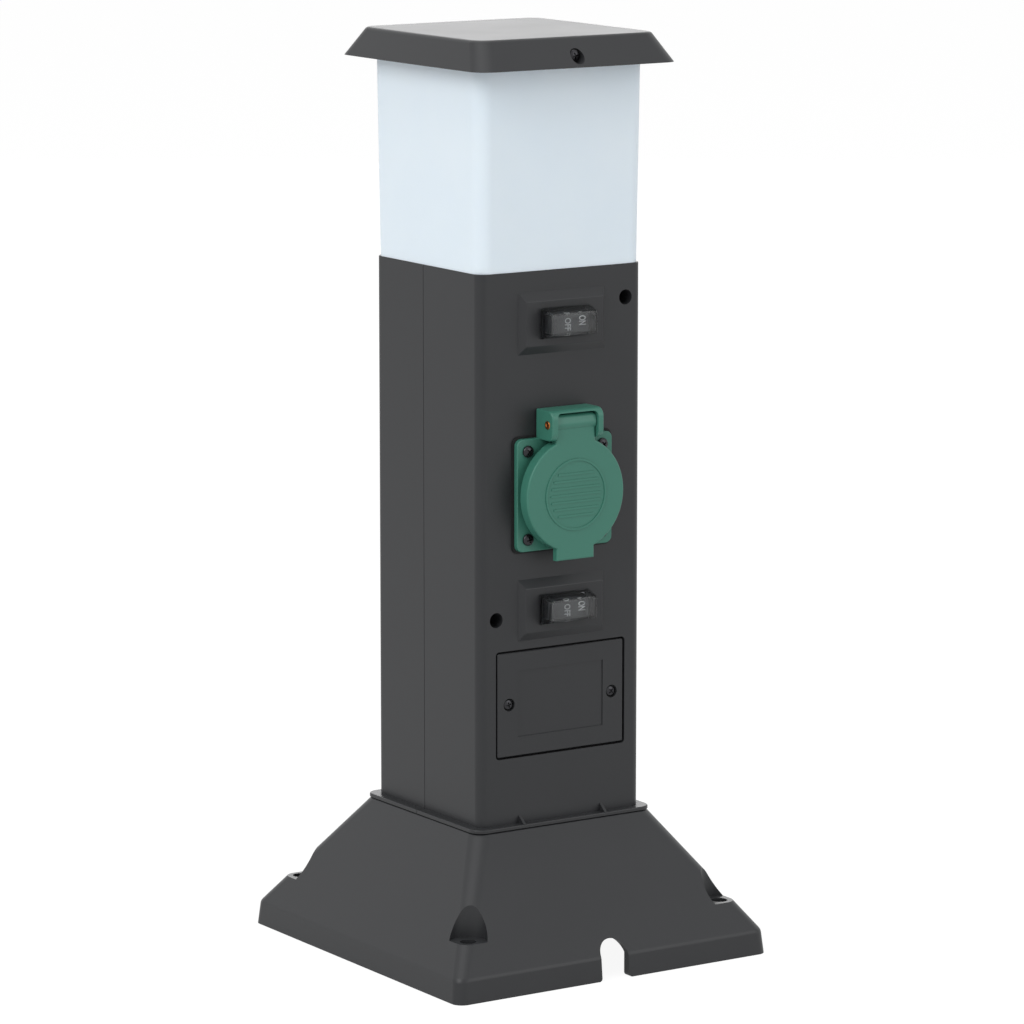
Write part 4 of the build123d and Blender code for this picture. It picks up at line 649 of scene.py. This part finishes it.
@dataclass
class RockerSwitch:
    """A rocker with its two printed words under a clear hood. Its sizes are in millimetres.

    Attributes:
        place: "upper" or "lower".
        z: The height of its middle.
        pivot_y: The depth of the rocker's pin.
        half_w: Half of the rocker's width.
        height: The rocker's height.
        rise: How far the middle of its face stands in front of the pin.
        tilt: Half of its swing, in degrees.
        hollow: How far each half of its face is hollowed.
        steps: The number of faces across it.
        side_y: The depth at which its sides begin, in its own axes.
        foot_y: The depth of its back.
        foot_half: Half of the width of its back.
        edge_r: The radius of its edges.
        pin_r: The radius of its pin.
        pin_half: Half of the pin's length.
        front_y: The depth of the platform that the hood stands on.
        hood_base: The hood's width and height at the platform.
        hood_front: Its width and height at its front.
        hood_rise: How far it stands out.
        hood_wall: The thickness of its wall.
        hood_edge_r: The radius of its outer edges.
        hood_inner_r: The radius of its inner edges.
        ink: The thickness of the ink.
        swell: How far the letters are swelled, as a share of their size.
        word_place: How far right and up each word's middle is, from the middle of the face.
        word_size: The length down and the width across of each word.
    """

    place: str
    z: float
    pivot_y: float = -43.6
    half_w: float = 8.7
    height: float = 7.6
    rise: float = 4.6
    tilt: float = 8.0
    hollow: float = 0.22
    steps: int = 16
    side_y: float = -0.8
    foot_y: float = 2.4
    foot_half: float = 5.0
    edge_r: float = 0.45
    pin_r: float = 0.8
    pin_half: float = 4.6
    front_y: float = -44.3
    hood_base: tuple[float, float] = (25.6, 13.4)
    hood_front: tuple[float, float] = (23.6, 9.3)
    hood_rise: float = 7.7
    hood_wall: float = 0.8
    hood_edge_r: float = 0.5
    hood_inner_r: float = 0.2
    ink: float = 0.06
    swell: float = 0.02
    word_place: dict[Word, tuple[float, float]] = field(
        default_factory=lambda: {Word.ON: (5.3, 1.0), Word.OFF: (-1.7, -0.3)}
    )
    word_size: dict[Word, tuple[float, float]] = field(
        default_factory=lambda: {Word.ON: (3.9, 3.4), Word.OFF: (5.1, 3.0)}
    )

    def at_rest(self) -> Matrix:
        """Returns the move from the rocker's own axes, in metres, to its place at rest."""
        turn = Matrix.Rotation(math.radians(-self.tilt), 4, "Z")
        return Matrix.Translation((0, self.pivot_y * MM, self.z * MM)) @ turn

    def face_y(self, x: float) -> float:
        """Gives the depth of the rocker's face in its own axes.

        Args:
            x: The place across it, in millimetres.

        Returns:
            The depth in front of the pin, in millimetres, negative towards the user.
        """
        share = abs(x) / self.half_w
        slope = abs(x) * math.tan(math.radians(self.tilt))
        return -self.rise - slope + self.hollow * 4 * share * (1 - share)

    def rocker(self) -> None:
        """Builds the rocker with softly hollowed faces and rounded edges, and its pin."""
        shape = bmesh.new()
        across = [self.half_w * (2 * step / self.steps - 1) for step in range(self.steps + 1)]
        outline = [(x, self.face_y(x)) for x in across]
        outline += [
            (self.half_w, self.side_y),
            (self.foot_half, self.foot_y),
            (-self.foot_half, self.foot_y),
            (-self.half_w, self.side_y),
        ]
        points = [shape.verts.new((x * MM, y * MM, -self.height / 2 * MM)) for x, y in outline]
        end = shape.faces.new(points)
        grown = bmesh.ops.extrude_face_region(shape, geom=[end])["geom"]
        top = [v for v in grown if isinstance(v, bmesh.types.BMVert)]
        bmesh.ops.translate(shape, verts=top, vec=(0, 0, self.height * MM))
        bmesh.ops.recalc_face_normals(shape, faces=shape.faces)
        sharp = [e for e in shape.edges if e.calc_face_angle(0.0) > math.radians(30)]
        bmesh.ops.bevel(
            shape, geom=sharp, offset=self.edge_r * MM, offset_type="OFFSET", affect="EDGES",
            segments=3, profile=0.5, material=-1, clamp_overlap=True,
        )
        for side in (-1, 1):
            middle = side * (self.height / 2 + self.pin_half) / 2
            length = self.pin_half - self.height / 2 + 0.1
            bmesh.ops.create_cone(
                shape, cap_ends=True, segments=24, radius1=self.pin_r * MM, radius2=self.pin_r * MM,
                depth=length * MM, matrix=Matrix.Translation((0, 0, middle * MM)),
            )
        bmesh.ops.transform(shape, matrix=self.at_rest(), verts=shape.verts)
        piece = put_in_scene(f"rocker_{self.place}_dressed", shape, ROCKER_PLASTIC)
        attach(piece, f"rocker_{self.place}_body")
        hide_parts(f"rocker_{self.place}")

    def word(self, word: Word, finish: Finish) -> None:
        """Prints one word on the rocker's face, read from the top down.

        Args:
            word: The word.
            finish: The ink.
        """
        curve = bpy.data.curves.new("word_curve", "FONT")
        curve.body = word.value
        curve.extrude = 0.5
        curve.offset = self.swell
        curve.resolution_u = 6
        letters = bpy.data.objects.new("word_letters", curve)
        bpy.context.scene.collection.objects.link(letters)
        depsgraph = bpy.context.evaluated_depsgraph_get()
        mesh = bpy.data.meshes.new_from_object(letters.evaluated_get(depsgraph))
        bpy.data.objects.remove(letters)
        shape = bmesh.new()
        shape.from_mesh(mesh)
        bpy.data.meshes.remove(mesh)
        low = [min(v.co[axis] for v in shape.verts) for axis in (0, 1)]
        high = [max(v.co[axis] for v in shape.verts) for axis in (0, 1)]
        length, height = self.word_size[word]
        x, z = self.word_place[word]
        for vert in shape.verts:
            along, across, out = vert.co
            drop = ((along - low[0]) / (high[0] - low[0]) - 0.5) * length
            over = ((across - low[1]) / (high[1] - low[1]) - 0.5) * height
            lift = self.ink if out > 0 else 0.0
            vert.co = Vector((x + over, self.face_y(x + over) - lift, z - drop)) * MM
        bmesh.ops.transform(shape, matrix=self.at_rest(), verts=shape.verts)
        piece = put_in_scene(f"word_{word.value.lower()}_{self.place}", shape, finish)
        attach(piece, f"rocker_{self.place}_body")

    def hood_skin(
        self, shape: bmesh.types.BMesh, inset: float, edge_r: float
    ) -> list[bmesh.types.BMEdge]:
        """Adds one skin of the hood, a tapered box without a back.

        Args:
            shape: The mesh that it is added to.
            inset: How far inside the hood's outer skin it lies, in millimetres.
            edge_r: The radius of its edges.

        Returns:
            The edges round its open back.
        """
        skin = bmesh.new()
        rise = self.hood_rise - inset
        middle_y = (self.front_y - rise / 2) * MM
        base_w, base_h = (side - 2 * inset for side in self.hood_base)
        front_w, front_h = (side - 2 * inset for side in self.hood_front)
        size = Matrix.Diagonal((base_w * MM, rise * MM, base_h * MM, 1))
        place = Matrix.Translation((0, middle_y, self.z * MM)) @ size
        corners = bmesh.ops.create_cube(skin, size=1.0, matrix=place)["verts"]
        front = [v for v in corners if v.co.y < middle_y]
        taper = (front_w / base_w, 1.0, front_h / base_h)
        level = Matrix.Translation((0, 0, -self.z * MM))
        bmesh.ops.scale(skin, verts=front, vec=taper, space=level)
        back = [f for f in skin.faces if f.normal.y > 0.9]
        rounded = [e for e in skin.edges if not any(f in back for f in e.link_faces)]
        bmesh.ops.bevel(
            skin, geom=rounded, offset=edge_r * MM, offset_type="OFFSET", affect="EDGES",
            segments=4, profile=0.5, material=-1, clamp_overlap=True,
        )
        back = [f for f in skin.faces if f.normal.y > 0.99]
        bmesh.ops.delete(skin, geom=back, context="FACES_ONLY")
        mesh = bpy.data.meshes.new("hood_skin")
        skin.to_mesh(mesh)
        skin.free()
        before = len(shape.edges)
        shape.from_mesh(mesh)
        bpy.data.meshes.remove(mesh)
        shape.edges.ensure_lookup_table()
        return [e for e in shape.edges[before:] if e.is_boundary]

    def hood(self) -> None:
        """Builds the clear hood from an outer and an inner skin joined round its back."""
        shape = bmesh.new()
        rims = self.hood_skin(shape, 0.0, self.hood_edge_r)
        rims += self.hood_skin(shape, self.hood_wall, self.hood_inner_r)
        bmesh.ops.bridge_loops(shape, edges=rims)
        hood = put_in_scene(f"hood_{self.place}_dressed", shape, CLEAR_PVC)
        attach(hood, "column")
        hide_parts(f"hood_{self.place}")

    def build(self) -> None:
        """Builds the rocker, its words and its hood."""
        self.rocker()
        self.word(Word.ON, PRINT_WHITE)
        self.word(Word.OFF, PRINT_GREY)
        self.hood()
        log.info("%s switch: rocker, words and hood", self.place)


@dataclass
class HingePin:
    """The lid's pin, riveted over at each end to a flat head with a dimple.

    Attributes:
        y: The depth of its axis, in millimetres.
        z: The height of its axis.
        radius: Its radius.
        half: Half of the width over the ears.
        head_r: The radius of its heads.
        head_t: How far they stand out of the ears.
        dimple_r: The radius of the dimples.
    """

    y: float = -50.9
    z: float = 236.3
    radius: float = 1.1
    half: float = 13.1
    head_r: float = 1.8
    head_t: float = 0.35
    dimple_r: float = 0.9

    def build(self) -> None:
        """Spins the pin about its axis."""
        shape = bmesh.new()
        face, step = self.half + self.head_t, self.head_t / 3
        right = [
            (self.half, self.radius),
            (self.half, self.head_r),
            (face - step, self.head_r),
            (face, self.head_r - step),
            (face, self.dimple_r + step),
            (face - step, self.dimple_r),
            (face - 2 * step, 0.0),
        ]
        profile = [(-x, r) for x, r in reversed(right)] + right
        points = [shape.verts.new((x * MM, 0.0, r * MM)) for x, r in profile]
        edges = [shape.edges.new(pair) for pair in zip(points, points[1:])]
        bmesh.ops.spin(
            shape, geom=points + edges, cent=(0, 0, 0), axis=(1, 0, 0),
            angle=math.tau, steps=32, use_merge=True,
        )
        bmesh.ops.translate(shape, verts=shape.verts, vec=(0, self.y * MM, self.z * MM))
        piece = put_in_scene("hinge_pin_dressed", shape, COPPER, smooth=50.0)
        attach(piece, "column")
        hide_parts("hinge_pin")
        log.info("hinge pin")


@dataclass
class Studio:
    """A pale floor, a white surround, soft lamps and the photograph's camera.

    Attributes:
        floor_side: The floor's side, in metres.
        paint: The floor's colour, where light falls on it.
        ambient: The surround's light on the object.
        glow: How white the floor looks to the camera whatever light falls on it.
        dimmed: How much of that a mirror loses, so that the foot's rim stays dark.
        white: The strength of that white.
        azimuth: The camera's angle round the object, in degrees.
        elevation: Its angle above the floor.
        distance: Its distance, in metres.
        target_z: The height that the angles turn about.
        aside: How far right the view's middle is from there.
        above: How far above, or below where it is negative.
        lens: The focal length, in millimetres.
        sensor: The width of the camera's sensor, in millimetres.
        reach: How far the camera sees, in metres.
        aim_z: The height that the lamps look at.
    """

    floor_side: float = 14.0
    paint: str = "DCDCDC"
    ambient: float = 0.56
    glow: float = 0.84
    dimmed: float = 0.5
    white: float = 1.1
    azimuth: float = -33.13
    elevation: float = 10.01
    distance: float = 2.2279
    target_z: float = 0.2109
    aside: float = 0.00176
    above: float = -0.02032
    lens: float = 180.56
    sensor: float = 36.0
    reach: float = 50.0
    aim_z: float = 0.2

    def seen_directly(self, tree: bpy.types.NodeTree) -> bpy.types.NodeSocket:
        """Adds nodes that give 1 to rays from the camera, a mirror or clear plastic, and 0 to light.

        Args:
            tree: The node tree of the floor or the world.

        Returns:
            The socket with that number.
        """
        path = add_node(tree, "ShaderNodeLightPath")
        either = add_node(
            tree,
            "ShaderNodeMath",
            {"operation": "MAXIMUM"},
            {0: path.outputs["Is Camera Ray"], 1: path.outputs["Is Glossy Ray"]},
        )
        return add_node(
            tree,
            "ShaderNodeMath",
            {"operation": "MAXIMUM"},
            {0: either.outputs[0], 1: path.outputs["Is Transmission Ray"]},
        ).outputs[0]

    def floor(self) -> None:
        """Builds the pale floor, which keeps a soft shadow."""
        shape = bmesh.new()
        bmesh.ops.create_grid(shape, x_segments=1, y_segments=1, size=self.floor_side / 2)
        mesh = bpy.data.meshes.new("floor")
        shape.to_mesh(mesh)
        shape.free()
        floor = bpy.data.objects.new("floor", mesh)
        bpy.context.scene.collection.objects.link(floor)
        material = bpy.data.materials.new("pale_floor")
        material.use_nodes = True
        tree = material.node_tree
        tree.nodes.clear()
        paint = add_node(tree, "ShaderNodeBsdfDiffuse", {"Color": linear(self.paint)})
        glow = add_node(tree, "ShaderNodeEmission", {"Color": WHITE, "Strength": self.white})
        path = add_node(tree, "ShaderNodeLightPath")
        mirrored = add_node(
            tree,
            "ShaderNodeMath",
            {"operation": "MULTIPLY", 1: self.dimmed},
            {0: path.outputs["Is Glossy Ray"]},
        )
        plain = add_node(
            tree,
            "ShaderNodeMath",
            {"operation": "SUBTRACT"},
            {0: self.seen_directly(tree), 1: mirrored.outputs[0]},
        )
        share = add_node(
            tree,
            "ShaderNodeMath",
            {"operation": "MULTIPLY", 1: self.glow},
            {0: plain.outputs[0]},
        )
        both = add_node(
            tree,
            "ShaderNodeMixShader",
            links={0: share.outputs[0], 1: paint.outputs[0], 2: glow.outputs[0]},
        )
        add_node(tree, "ShaderNodeOutputMaterial", links={"Surface": both.outputs[0]})
        mesh.materials.append(material)

    def surround(self) -> None:
        """Sets a world that looks white and lights the object softly."""
        world = bpy.data.worlds.new("white_surround")
        bpy.context.scene.world = world
        world.use_nodes = True
        tree = world.node_tree
        tree.nodes.clear()
        light = add_node(tree, "ShaderNodeBackground", {"Color": WHITE, "Strength": self.ambient})
        white = add_node(tree, "ShaderNodeBackground", {"Color": WHITE, "Strength": 1.0})
        both = add_node(
            tree,
            "ShaderNodeMixShader",
            links={0: self.seen_directly(tree), 1: light.outputs[0], 2: white.outputs[0]},
        )
        add_node(tree, "ShaderNodeOutputWorld", links={"Surface": both.outputs[0]})

    def lamp(self, name: str, place: tuple[float, float, float], side: float, watts: float) -> None:
        """Adds one square soft lamp that looks at the object.

        Args:
            name: The lamp's name.
            place: Where it hangs, in metres.
            side: Its side, in metres.
            watts: Its power.
        """
        data = bpy.data.lights.new(name, "AREA")
        data.shape = "SQUARE"
        data.size = side
        data.energy = watts
        lamp = bpy.data.objects.new(name, data)
        lamp.visible_camera = False
        bpy.context.scene.collection.objects.link(lamp)
        lamp.location = place
        way = Vector((0, 0, self.aim_z)) - Vector(place)
        lamp.rotation_euler = way.to_track_quat("-Z", "Y").to_euler()

    def camera(self) -> None:
        """Places the camera where the photograph's perspective puts it."""
        turn, tilt = math.radians(self.azimuth), math.radians(self.elevation)
        level = math.cos(tilt)
        back = Vector((math.sin(turn) * level, -math.cos(turn) * level, math.sin(tilt)))
        right = Vector((math.cos(turn), math.sin(turn), 0.0))
        up = back.cross(right)
        place = Vector((0, 0, self.target_z)) + back * self.distance
        place += right * self.aside + up * self.above
        data = bpy.data.cameras.new("camera")
        data.lens = self.lens
        data.sensor_width = self.sensor
        data.clip_end = self.reach
        camera = bpy.data.objects.new("camera", data)
        bpy.context.scene.collection.objects.link(camera)
        camera.matrix_world = Matrix(
            (
                (right.x, up.x, back.x, place.x),
                (right.y, up.y, back.y, place.y),
                (right.z, up.z, back.z, place.z),
                (0, 0, 0, 1),
            )
        )
        bpy.context.scene.camera = camera

    def build(self) -> None:
        """Builds the floor, the light and the camera."""
        bpy.context.scene.view_settings.view_transform = "Standard"
        self.camera()
        self.floor()
        self.surround()
        self.lamp("key", (-2.2, -0.7, 1.9), 1.6, 33.0)
        self.lamp("fill", (1.4, -2.4, 1.2), 1.8, 15.0)
        self.lamp("top", (0.0, 0.4, 2.6), 2.0, 20.0)
        self.lamp("back", (1.64, 2.5, 0.95), 1.6, 13.0)
        log.info("studio: floor, surround, four lamps and camera")


def dress_nodes() -> None:
    """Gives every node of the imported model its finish."""
    for name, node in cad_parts.items():
        material = material_of(FINISHES[name])
        if not node.material_slots:
            node.data.materials.append(material)
        for slot in node.material_slots:
            slot.material = material
    log.info("%d nodes of the model dressed", len(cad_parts))


def build_screws() -> None:
    """Builds the screws that show, each kind at its CAD node's places."""
    front, rear = Facing.FRONT, Facing.REAR
    flange_x, flange_y, flange_z = 19.0, -44.5, (186.7, 224.7)
    cover_x, cover_y, cover_z = 26.4, -40.0, 115.1
    cap_y, cap_z = 49.9, 392.1
    shell_x, shell_y, shell_low, shell_high = 33.0, -7.0, 152.6, 286.7
    kinds = (
        (
            CrossScrews("socket_screws", 2.6, 1.8, 1.4, 9.0),
            [(x, flange_y, z, front) for x in (-flange_x, flange_x) for z in flange_z],
        ),
        (
            CrossScrews("cover_screws", 2.4, 1.3, 1.3, 9.0),
            [(x, cover_y, cover_z, front) for x in (-cover_x, cover_x)],
        ),
        (
            CrossScrews("cap_screws", 2.8, 2.0, 1.5, 12.9),
            [(0, -cap_y, cap_z, front), (0, cap_y, cap_z, rear)],
        ),
        (
            CrossScrews("shell_screws", 2.9, 2.4, 1.5, 19.0),
            [(shell_x, shell_y, shell_high, front), (-shell_x, shell_y, shell_low, front)],
        ),
    )
    for screws, places in kinds:
        screws.build(places)


def main() -> None:
    """Builds the scene in order."""
    logging.basicConfig(level=logging.INFO, format="%(name)s: %(message)s")
    Studio().build()
    dress_nodes()
    for place, z in (("upper", 278.9), ("lower", 155.6)):
        RockerSwitch(place, z).build()
    HingePin().build()
    build_screws()


if __name__ == "__main__":
    main()
